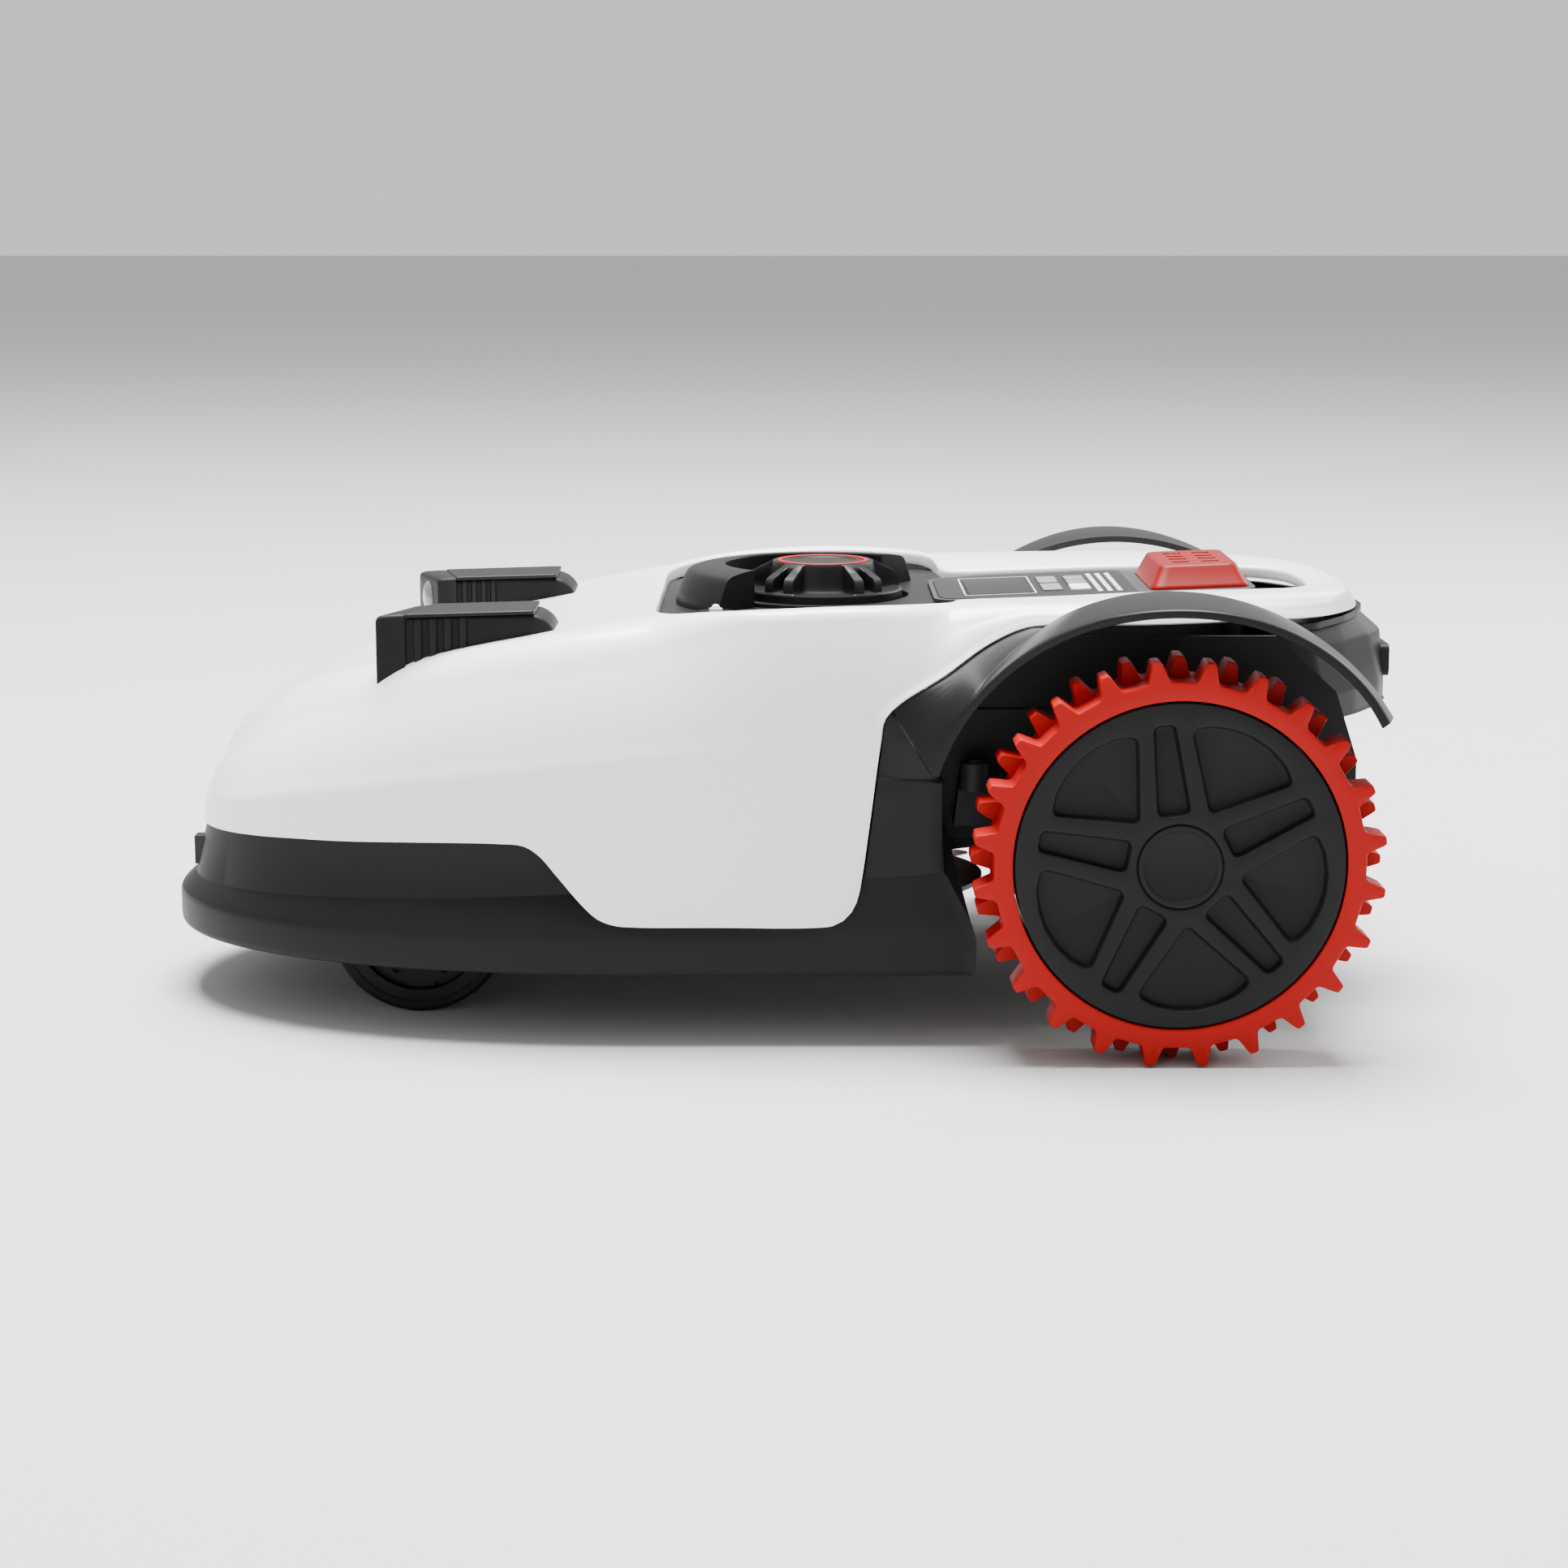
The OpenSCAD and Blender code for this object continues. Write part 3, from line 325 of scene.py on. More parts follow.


# Finishes given an edge strength below get their sharp edges painted paler: a painted highlight.
MATERIALS = {
    "cover_white": material("white_gloss", (0.88, 0.88, 0.87), 0.28, grain=0.1, grain_size=1.6, coat=0.35,
                            blotch=0.01),
    "body_black": material("black_satin", grey(0.007), 0.46, specular=0.13, grain=0.5, grain_size=0.5,
                           edge_highlight=0.15),
    "fender_grey": material("charcoal_satin", grey(0.008), 0.4, specular=0.13, grain=0.35, grain_size=0.4,
                            edge_highlight=0.1),
    "deck_grey": material("deck_satin", grey(0.008), 0.42, specular=0.14, grain=0.4, grain_size=0.5),
    "pod_black": material("pod_matte", grey(0.0075), 0.48, specular=0.13, grain=0.5, grain_size=0.45, edge_highlight=0.1),
    "wheel_black": material("wheel_satin", grey(0.0085), 0.5, specular=0.12, grain=0.5, grain_size=0.5,
                            edge_highlight=0.12),
    "tyre_red": material("red_rubber", (0.32, 0.003, 0.0035), 0.52, grain=0.5, grain_size=0.7, specular=0.12),
    "caster_black": material("caster_plastic", grey(0.0075), 0.5, specular=0.14, grain=0.5, grain_size=0.5),
    "caster_tyre": material("caster_rubber", grey(0.005), 0.7, specular=0.22, grain=0.8, grain_size=0.8),
    "knob_black": material("knob_satin", grey(0.007), 0.38, specular=0.14, grain=0.4, grain_size=0.4,
                           edge_highlight=0.15),
    "ring_red": material("red_ring", (0.31, 0.002, 0.002), 0.4, specular=0.15, grain=0.2, grain_size=0.5),
    "stop_red": material("stop_red_plastic", (0.17, 0.0001, 0.0001), 0.38, grain=0.15, grain_size=0.8,
                         specular=0.15, blotch=0.02),
    "panel_grey": material("panel_satin", grey(0.035), 0.42, specular=0.3, grain=0.4, grain_size=0.5),
    "face_grey": material("printed_face", grey(0.016), 0.45, specular=0.16, grain=0.3, grain_size=0.35,
                          blotch=0.03),
    "display": material("display_glass", (0.004, 0.004, 0.0045), 0.3, specular=0.08, rough_spread=0.02),
    "key_grey": material("key_rubber", (0.16, 0.16, 0.157), 0.55, grain=0.4, grain_size=0.4),
    "key_white": material("key_pale", (0.8, 0.8, 0.79), 0.45, grain=0.2, grain_size=0.5),
    "sensor_white": material("sensor_plastic", (0.8, 0.8, 0.78), 0.35, grain=0.1, grain_size=0.5),
    "motor_metal": material("cast_metal", (0.45, 0.46, 0.47), 0.5, grain=0.9, grain_size=1.2, metallic=0.9),
    "steel": material("bright_steel", (0.6, 0.61, 0.62), 0.3, grain=0.4, grain_size=0.3, metallic=1),
    "bearing_steel": material("ground_steel", (0.55, 0.56, 0.57), 0.26, grain=0.3, grain_size=0.3, metallic=1),
    "contact_metal": material("plated_contact", (0.03, 0.03, 0.028), 0.35, grain=0.3, grain_size=0.4,
                              metallic=1),
    "battery": material("battery_wrap", (0.03, 0.045, 0.06), 0.4, grain=0.3, grain_size=2, blotch=0.1),
    "board_green": material("board_mask", (0.015, 0.1, 0.04), 0.4, grain=0.5, grain_size=1.5, blotch=0.2),
    "rubber_black": material("bellows_rubber", grey(0.005), 0.75, specular=0.22, grain=0.8, grain_size=0.8),
    "disc_dark": material("disc_coating", (0.045, 0.047, 0.05), 0.45, grain=0.6, grain_size=0.7, metallic=0.3,
                          edge_highlight=0.3),
    "lens": material("lens_glass", (0.1, 0.12, 0.13), 0.06, coat=0.8, blotch=0.1, rough_spread=0.01),
}

for part in frame["record"]["subparts"]:
    node = frame["nodes"][part["node"]]
    node.data.materials.clear()
    node.data.materials.append(MATERIALS[part["material_slot"]])
    join = node.modifiers.new("join", "WELD")
    join.merge_threshold = 0.00001
    soften(node, 0.35, 32)
    shade = node.modifiers.new("shade", "WEIGHTED_NORMAL")
    shade.keep_sharp = True


# ---------------------------------------------------------------- white cover

# Four curves of the cover's left half from nose to tail, as (x, y, z) points
SHOULDER = [(349, 0, 157), (333, 21, 172), (312, 56, 186.4), (291, 77, 197), (259, 104, 209),
            (200, 136, 224.6), (131, 153, 238.4), (72, 160, 249.6), (35, 171, 254.6), (3, 179, 257),
            (-40, 177, 258.4), (-78, 165, 257.8), (-96, 152, 256.8), (-120, 149, 256.6), (-155, 147, 256.8),
            (-215, 143, 257.8), (-268, 125, 258.6), (-322, 99, 257.5), (-345, 62, 255.4), (-354, 0, 253.6)]
CREASE = [(362.6, 0, 123.5), (361.5, 33, 124), (349, 70, 127), (333, 95, 131), (312, 116, 137),
          (291, 131, 142), (259, 149, 148), (200, 170, 158), (131, 183.5, 167), (72, 188.5, 173),
          (3, 189.3, 179), (-22, 189.3, 181), (-44, 189, 181.5), (-54.5, 188, 184), (-57, 187, 197),
          (-67, 184.5, 206.5), (-93, 175, 221), (-119, 163, 237.5), (-138, 157.5, 246),
          (-152, 155.5, 248.2), (-215, 154, 248.6), (-268, 136, 249), (-322, 105, 248), (-345, 67, 246.5),
          (-357, 25, 245), (-358.5, 0, 244.5)]
LOWER = [(364.5, 0, 106), (362.5, 34, 106.4), (349, 71, 108.5), (333, 97, 110.6), (312, 119, 112.6),
         (291, 134, 114.2), (259, 152, 116), (200, 173, 119.2), (166, 180.5, 120), (150, 183.2, 119),
         (141, 184.6, 113.5), (131, 186, 102), (116, 187.6, 84.5), (107, 188.3, 76.5), (97, 189, 73),
         (85, 189.8, 72.2), (40, 190.5, 72.2), (-20, 190.5, 72.2), (-31, 190.4, 73.6), (-39, 190.3, 79),
         (-44, 190.2, 88), (-46.5, 190.1, 100), (-52, 190, 140), (-56.6, 189, 176), (-59.4, 188, 194),
         (-68.7, 186, 204), (-94, 177, 218.5), (-120, 164.5, 235), (-139, 159, 243.3), (-153, 157, 245.6),
         (-215, 155.5, 245.8), (-268, 138, 245.6), (-322, 107, 244.4), (-345, 69, 243), (-357.5, 28, 241.6),
         (-360.6, 0, 241)]
OPENING = [(75, 0, 247.4), (75, 60, 247.4), (75, 96, 247.4), (72.5, 116, 247.9), (63, 136, 249.2),
           (35, 156.5, 253), (3, 163, 255), (-40, 161, 256.5), (-78, 148, 256.2), (-92, 138, 255.8),
           (-99, 126, 254.4), (-102, 108, 251.6), (-105, 92, 250.1), (-116, 86.5, 250), (-160, 80.5, 252.2),
           (-220, 74, 255), (-285, 66.5, 256), (-312, 56, 255.6), (-324, 38, 255.3), (-328, 0, 255)]
# Spokes that tie the four curves together: x on the shoulder, the crease and the lower edge, the
# index of the opening's point, and how many spokes run to the next tie
TIES = [(349, 362.6, 364.5, 0, 60), (158, 158, 158, 1.7, 18), (104, 104, 104, 2.3, 14),
        (66, 66, 66, 3.5, 30), (-22, -22, -30, 6.6, 16), (-50, -54.5, -56.6, 7.2, 16),
        (-93, -93, -94, 9, 10), (-104, -104, -104, 12, 14), (-150, -150, -151, 14.1, 44),
        (-322, -322, -322, 17.2, 34), (-354, -358.5, -360.6, 19, 0)]
shoulder_z = curve_through([(p[0], p[2]) for p in SHOULDER])
shoulder_y = curve_through([(p[0], p[1]) for p in SHOULDER])
hood_crown = curve_through([(-360, 0), (75, -0.6), (131, -1), (200, 0), (291, 2.5), (333, 3), (349, 1)])


def between(path, first, last, count):
    """Evenly spaced points along a path from one index to another, without the last one."""
    lo, hi = int(round(first)), int(round(last))
    return resample(path[lo:hi + 1], count)[:-1]


def tied_curves():
    """The cover's four curves, cut at the ties and sampled alike."""
    paths = [dense_path(c) for c in (SHOULDER, CREASE, LOWER, OPENING)]
    marks = []
    for shoulder_x, crease_x, lower_x, opening_at, _ in TIES:
        row = [int(np.argmin(np.abs(path[:, 0] - x)))
               for path, x in zip(paths, (shoulder_x, crease_x, lower_x))]
        marks.append(row + [opening_at * PER_SPAN])
    marks[0][:3] = [0, 0, 0]
    marks[-1] = [len(p) - 1 for p in paths]
    curves = []
    for c, path in enumerate(paths):
        spans = [between(path, marks[i][c], marks[i + 1][c], TIES[i][4]) for i in range(len(TIES) - 1)]
        curves.append(np.concatenate(spans + [path[-1:]]))
    return curves


def hood(x, y):
    """Height of the cover's top face."""
    width = max(shoulder_y(x), 1)
    return shoulder_z(x) + hood_crown(x) * (1 - min(1, abs(y) / width) ** 2)


def cover_spoke(shoulder, crease, lower, opening):
    """Section of the cover from the foot of the opening's wall over the top to the lower edge."""
    across = np.linalg.norm((shoulder - opening)[:2])
    down = np.linalg.norm(crease - shoulder)
    soft = min(24, 0.6 * across, 0.45 * down)  # how far the shoulder's rounding reaches
    lip = 2.6  # how far the rounding at the opening reaches
    inward = (opening - shoulder)[:2] / max(across, 1e-6)
    sink = opening[2] - hood(opening[0], opening[1])
    reach = min(45, 0.9 * across)  # how far the hood bends to meet the opening's edge

    def top(distance):
        xy = opening[:2] - inward * distance
        dip = sink * max(0, 1 - distance / reach) ** 2
        return np.array([xy[0], xy[1], hood(xy[0], xy[1]) + dip])

    foot = opening - np.array([0, 0, 7.5])
    path = [foot, opening - np.array([0, 0, 5])]
    path += arc_corner(foot, opening, top(lip), lip)
    path += [top(lip + (across - soft - lip) * (k / 16) ** 1.35) for k in range(1, 16)]
    path += arc_corner(top(across - soft), shoulder, crease, soft, 8)
    line = crease - shoulder
    level = np.array([line[0], line[1], 0])
    out = np.cross(np.cross(line, level), line)
    bulge = out / max(np.linalg.norm(out), 1e-6) * 0.028 * down
    if line[2] > 0 or np.linalg.norm(level) < 1e-3:
        bulge = bulge * 0
    turn = min(5, 0.3 * np.linalg.norm(lower - crease), 0.2 * down)
    t0, t1 = soft / down, 1 - turn / down
    path += [shoulder + line * (t0 + (t1 - t0) * k / 10) + bulge * 4 * (k / 10) * (1 - k / 10)
             for k in range(1, 10)]
    path += arc_corner(shoulder, crease, lower, turn)
    path += [crease + (lower - crease) * t for t in (0.35, 0.6, 0.85, 1)]
    return path


def build_cover():
    rows = [cover_spoke(*points) for points in zip(*tied_curves())]
    mirrored = [[p * np.array([1, -1, 1]) for p in row] for row in rows[-2:0:-1]]
    cover = piece("cover_shell", Shape().grid(rows + mirrored, close_rows=True), "floating_cover",
                  "cover_white", "top_cover", sharp=60)
    thicken(cover, 2.2)


build_cover()


# ---------------------------------------------------------------- drive wheels

AXLE = (-226.0, 117.5)
FIFTH = 72  # degrees; the rim's spokes and the knob's grips repeat five times
WHEEL_FACE = 235.9  # y of the rim's outer face
HALF_LUG = 7.5  # degrees from the middle of a lug to the middle of the gap beside it
# Outline of half a lug: degrees from its middle and radius
LUG = [(0, 117.5), (0.7, 117.5), (1.15, 117.2), (1.45, 116.2), (2.1, 112.6), (2.75, 109.0), (3.15, 107.1),
       (3.7, 106.1), (4.6, 105.7), (7.5, 105.6)]


def about_axle(side):
    """Places (radius, degrees up from +X, y outwards) points on one side of the mower."""
    def at(r, degrees, y):
        x, z = polar(r, degrees)
        return (AXLE[0] + x, side * y, AXLE[1] + z)
    return at


def on_wheel_face(side):
    """Places (x, z) points about the axle at a height above the wheel's outer face."""
    return lambda u, v, h=0.0: (AXLE[0] + u, side * (WHEEL_FACE + h), AXLE[1] + v)


def sunken(shape, outline, pockets, lift, edge, foot, draft):
    """A flat face with sunken pockets that have rounded edges and feet. pockets are (outline, depth)."""
    shape.flat(outline, [offset_loop(p, edge) for p, _ in pockets], lambda u, v: lift(u, v, 0.0))
    turns = [polar(1, t) for t in (0, 30, 60, 90)]
    for loop, depth in pockets:
        rows = [(edge * (1 - s), -edge * (1 - c)) for c, s in turns]
        rows += [(-draft - foot * (1 - c), -depth + foot * (1 - s)) for c, s in turns]
        shape.grid([[lift(u, v, h) for u, v in offset_loop(loop, g)] for g, h in rows], close_cols=True)
        shape.flat(offset_loop(loop, rows[-1][0]), [], lambda u, v, d=depth: lift(u, v, -d))


def build_tyre(side, name):
    at = about_axle(side)
    lug = curve_through(LUG)
    steps = sorted({round(a, 3) for a, _ in LUG} | {round(HALF_LUG - a, 3) for a, _ in LUG})[:-1]
    outer, inner, angles = [], [], []
    for k in range(round(360 / HALF_LUG)):
        for s in steps:
            angles.append(HALF_LUG * k + s)
            near, far = (s, HALF_LUG - s) if k % 2 == 0 else (HALF_LUG - s, s)
            inner.append(lug(near))
            outer.append(lug(far))
    rows = [[at(95, a, 189) for a in angles], [at(96.5, a, 188.1) for a in angles],
            [at(103.2, a, 188.1) for a in angles]]
    for y, profile, cut in ((188.1, inner, 1.5), (188.5, inner, 0.5), (189.3, inner, 0), (211.2, inner, 0),
                            (211.8, inner, 0.6), (212.1, outer, 0.6), (212.8, outer, 0), (234.6, outer, 0),
                            (235.5, outer, 0.4), (235.9, outer, 1.4)):
        rows.append([at(r - cut, a, y) for a, r in zip(angles, profile)])
    rows += [[at(103.4, a, 236) for a in angles], [at(96.4, a, 236) for a in angles],
             [at(95, a, 235.2) for a in angles]]
    piece(f"tyre_skin_{name}", Shape().grid(rows, close_rows=True, close_cols=True), f"wheel_{name}",
          "tyre_red", f"tyre_{name}", sharp=42)


def build_rim(side, name):
    at, face = about_axle(side), on_wheel_face(side)
    recess = 6.6
    pockets = []
    for k in range(5):
        a, b = 46.5 + FIFTH * k, 10.5 + FIFTH * k
        big = [polar(36, a - 3), polar(79, a - 25), polar(82.4, a - 16), polar(83.8, a - 8), polar(84.3, a),
               polar(83.8, a + 8), polar(82.4, a + 16), polar(79, a + 25), polar(36, a + 3)]
        c, s = math.cos(math.radians(b)), math.sin(math.radians(b))
        small = [(u * c - v * s, u * s + v * c)
                 for u, v in ((29.5, -9.6), (81.5, -6.2), (81.5, 6.2), (29.5, 9.6))]
        pockets += [(rounded(big, [1.1, 6, 2, 2, 2, 2, 2, 6, 1.1]), recess),
                    (rounded(small, [5, 4, 4, 5]), recess)]
    pockets.append(([polar(24.6, 5 * k) for k in range(72)], 3.2))
    shape = Shape()
    sunken(shape, [polar(92.8, 3.75 * k) for k in range(96)], pockets, face, edge=1.2, foot=1.6, draft=0.8)
    profile = [(92.8, WHEEL_FACE), (93.5, 235.6), (93.8, 234.9), (93.8, 189), (93.2, 188.3), (90, 188.3),
               (89.4, 189), (89.4, 222), (86, 224.5), (24, 224.5), (20, 221), (20, 191), (19, 190), (8.2, 190)]
    shape.grid([[at(r, 3.75 * k, y) for k in range(96)] for r, y in profile], close_cols=True)
    piece(f"rim_skin_{name}", shape, f"wheel_{name}", "wheel_black", f"wheel_rim_{name}", sharp=35)
    cap = [(23.9, 232), (23.9, 235.2), (23.5, 235.8), (22.8, 236), (21.6, 236), (21.1, 235.8), (20.2, 234.6),
           (19.8, 234.4), (0.01, 234.4)]
    hub = Shape().grid([[at(r, 5 * k, y) for k in range(72)] for r, y in cap], close_cols=True)
    piece(f"hub_skin_{name}", hub, f"wheel_{name}", "wheel_black", f"hub_cap_{name}", sharp=35)


for side, name in SIDES:
    build_tyre(side, name)
    build_rim(side, name)


# ---------------------------------------------------------------- fenders and pillars

# Points are (degrees about the axle, y, radius)
FENDER_EDGE = [(18, 193.8, 147), (24, 195, 147), (40, 200, 147), (52, 207, 147), (66, 218, 147),
               (80, 232, 147), (90, 238.6, 147), (98, 240, 147), (112, 240, 147), (126, 240, 146.2),
               (136, 240, 144.6), (144.2, 240, 142)]
FENDER_CREASE = [(18, 193.3, 146.8), (27, 196.3, 146.9), (37, 196.8, 147.1), (43, 189, 147.4),
                 (51, 180.5, 147.6), (59, 170.5, 147.8), (66, 160.5, 148), (74, 158, 148), (98, 158, 148),
                 (112, 158, 148.4), (126, 158, 149), (138, 158, 150), (150.5, 158, 151.4)]


def by_angle(table, count, ends=None):
    """Evenly spaced (angle, y, radius) points of a fender curve."""
    path = dense_path(table, 10)
    lo, hi = ends or (table[0][0], table[-1][0])
    t = np.linspace(lo, hi, count)
    return np.stack([t, np.interp(t, path[:, 0], path[:, 1]), np.interp(t, path[:, 0], path[:, 2])], 1)


def build_fender(side, name):
    """The arch over a wheel: a crowned band from its crease by the body to its outer edge."""
    at = about_axle(side)
    shape = Shape()
    edge = by_angle(FENDER_EDGE, 120)
    crease = by_angle(FENDER_CREASE, 120)
    rows = []
    for (a, y, r), (ca, cy, cr) in zip(edge, crease):
        inner, outer = np.array(at(cr, ca, cy)), np.array(at(r, a, y))
        width = np.linalg.norm(outer - inner)
        soft = min(1.6, 0.3 * width)
        row = [np.array(at(cr - 4, ca, cy - 0.2))] if cy < 159 else [inner]
        span = 1 - soft / max(width, 1e-6)
        for k in range(9):
            t = k / 8 * span
            p = inner + (outer - inner) * t
            bulge = 1 + 0.009 * math.sin(math.pi * t) * min(1, width / 80)
            row.append(np.array([AXLE[0] + (p[0] - AXLE[0]) * bulge, p[1],
                                 AXLE[1] + (p[2] - AXLE[1]) * bulge]))
        for t in (0.35, 0.7, 1):
            c, s = polar(1, 90 * t)
            row.append(np.array(at(r - soft * (1 - c), a, y - soft * (1 - s))))
        row.append(np.array(at(r - 4.4, a, y)))
        row.append(np.array(at(r - 5, a, y - 0.7)))
        row.append(np.array(at(r - 5, a, max(y - 3.2, min(cy + 0.4, y - 1)))))
        row.append(np.array(at(r - 3.4, a, max(y - 4, min(cy + 0.2, y - 1.2)))))
        row.append(np.array(at(cr - 4, ca, max(cy - 0.2, 157.8) if cy < 159 else cy - 0.3)))
        rows.append(row)
    shape.grid(rows, close_cols=True)
    shape.cap(rows[0])
    shape.cap(rows[-1])
    piece(f"fender_skin_{name}", shape, "chassis", "fender_grey", f"fender_{name}", sharp=28)


def build_pillar(side, name):
    """The face between the cover's rear edge and the fender's crease."""
    at = about_axle(side)
    path = dense_path(LOWER)
    start = int(np.argmin(np.abs(path[:, 2] - 99) + 99 * (path[:, 0] > 0)))
    end = int(np.argmin(np.abs(path[:, 0] + 146)))
    cut = resample(path[start:end], 90)
    along = np.gradient(cut, axis=0)
    normal = np.stack([-along[:, 2], np.zeros(len(cut)), along[:, 0]], 1)
    normal /= np.linalg.norm(normal, axis=1, keepdims=True)
    rim = cut + normal * 1.0
    rim[:, 1] = np.minimum(rim[:, 1] - 1.2, np.interp(rim[:, 2], [99, 150, 200], [185.6, 188.3, 187.4]))
    upright_end = int(np.argmin(np.abs(rim[:, 2] - 160.3)))
    arch_start = int(np.argmin(np.abs(rim[:, 0] + 63.6)))
    mirror = np.array([1, side, 1])
    low, high = np.array((-93.6, 185.6, 103.5)), np.array((-93.2, 189.8, 158.6))
    first_angle, first_y, first_radius = FENDER_CREASE[0]
    point = np.array(at(first_radius, first_angle, first_y)) * mirror
    wall = Shape()

    def ruled(left, right, parts):
        rows = [[(a + (b - a) * k / parts) * mirror for k in range(parts + 1)] for a, b in zip(left, right)]
        wall.grid(rows)

    first = rim[:upright_end + 1]
    t = (first[:, 2] - first[0, 2]) / (first[-1, 2] - first[0, 2])
    ruled(first, low + (high - low) * t[:, None], 4)
    wall.add([p * mirror for p in (rim[upright_end], high, point)], [(0, 1, 2)])
    for i in range(upright_end, arch_start):
        wall.add([p * mirror for p in (rim[i], point, rim[i + 1])], [(0, 1, 2)])
    last = rim[arch_start:]
    top_crease = by_angle(FENDER_CREASE, len(last), (18, 60))
    ruled(last, [np.array(at(r - 0.1, a, y)) * mirror for a, y, r in top_crease], 8)
    pillar = piece(f"pillar_skin_{name}", wall, "chassis", "fender_grey", f"fender_{name}", sharp=4)
    thicken(pillar, 3)


for side, name in SIDES:
    build_fender(side, name)
    build_pillar(side, name)


# ---------------------------------------------------------------- front skirt

BEND = 80  # x where the straight sides meet the rounded nose
# Rows from the top edge to the foot: nose x, half width, height at the nose and its rise towards the
# rear, x of the rear end, and how far the rear end flares out
SKIRT = [(363, 177.5, 109, 0.0635, -93.4, 0), (371, 179.5, 74, 0.0635, -94.6, 6.1),
         (371.5, 179.9, 73.1, 0.0635, -95.4, 5.9), (372.4, 180.7, 72.5, 0.062, -96.6, 5.1),
         (379.6, 188.4, 66.2, 0.018, -110.6, 1.6), (380.8, 189.5, 64.6, 0.008, -112.8, 0.8),
         (381.4, 189.9, 62.8, 0.004, -113.6, 0.2), (381.5, 190, 61, 0.002, -113.8, 0),
         (381.5, 190, 47.5, 0, -113.8, 0), (381.2, 189.6, 45.6, 0, -113.4, 0),
         (380.4, 188.9, 44.1, 0, -112.4, 0), (379.2, 187.8, 43.2, 0, -110.8, 0),
         (377.6, 186.2, 43, 0, -108.8, 0)]
# Rows inside, back up to the top edge: inset, the outer row it follows, and its change of height
SKIRT_INSIDE = [(3, 12, 1.5), (3.2, 8, -0.5), (3.2, 4, -0.5), (3, 1, -0.5), (2.6, 0, -0.5)]


def half_width(x, nose, half):
    """Half the skirt's width at x: straight sides and a superellipse for the nose."""
    if x <= BEND:
        return half
    return half * max(0.0, 1 - min(1.0, (x - BEND) / (nose - BEND)) ** 2.2) ** (1 / 2.2)


def skirt_row(nose, half, z, rise, end, flare):
    """One row of the skirt, from its right rear end round the nose to its left rear end."""
    xs = [BEND + (nose - BEND) * math.cos(math.radians(90 * k / 72)) for k in range(73)]
    ys = [half_width(x, nose, half) for x in xs]
    xs += [BEND + (end - BEND) * k / 24 for k in range(1, 25)]
    ys += [half] * 24
    left = [(x, y + flare * min(1, max(0, (20 - x) / 60)) ** 2, z + rise * (SKIRT[1][0] - x))
            for x, y in zip(xs, ys)]
    return [(x, -y, height) for x, y, height in left[:0:-1]] + left


def build_skirt():
    rows = [skirt_row(*row) for row in SKIRT]
    for inset, index, change in SKIRT_INSIDE:
        nose, half, z, *rest = SKIRT[index]
        rows.append(skirt_row(nose - inset, half - inset, z + change, *rest))
    shape = Shape().grid(rows, close_rows=True)
    for end in (0, -1):
        shape.cap([row[end] for row in rows])
    piece("skirt_shell", shape, "chassis", "body_black", "front_skirt", sharp=17)


build_skirt()


# ---------------------------------------------------------------- height knob

KNOB_X = -26.0
KNOB_WIDE, KNOB_THIN = 18, 54  # angles of the middles of the first pocket and the first slot
# Profiles from the ring's groove outwards, as (radius, height) points
KNOB_RIDGE = [(31, 266.6), (32.2, 266.1), (36, 264.0), (41, 261.6), (45.6, 259.3), (47.2, 258.2), (48.2, 256.6),
              (48.5, 254.5), (48.5, 251.5), (48.6, 250.1)]
KNOB_POCKET = [(31, 266.6), (31.5, 265.9), (32.1, 263.5), (33.0, 259), (33.8, 255), (34.5, 252), (35.6, 250.4),
               (38, 249.8), (43, 249.7), (48.6, 249.6)]
KNOB_SLOT = [(31, 266.6), (32.2, 266.1), (34.4, 264.9), (35.3, 264.0), (35.8, 262), (36.2, 257), (36.7, 253),
             (37.8, 251.2), (42, 250.8), (48.6, 250.1)]
KNOB_RIM = [(49.4, 249.5), (50, 248.6), (50, 247), (50, 242), (49, 241.7), (9.9, 241.7), (9.9, 222.1), (6, 222),
            (6, 165.2), (0.01, 165.1)]
KNOB_TOP = [(30.4, 266.6), (29.4, 266.5), (29.1, 265.9), (25.5, 265.9), (25.2, 266.5), (24.4, 266.6),
            (21.8, 266.6), (21.1, 266.3), (20.8, 266.0), (0.01, 266.0)]


def about_knob(x, y, z):
    return (KNOB_X + x, y, z)


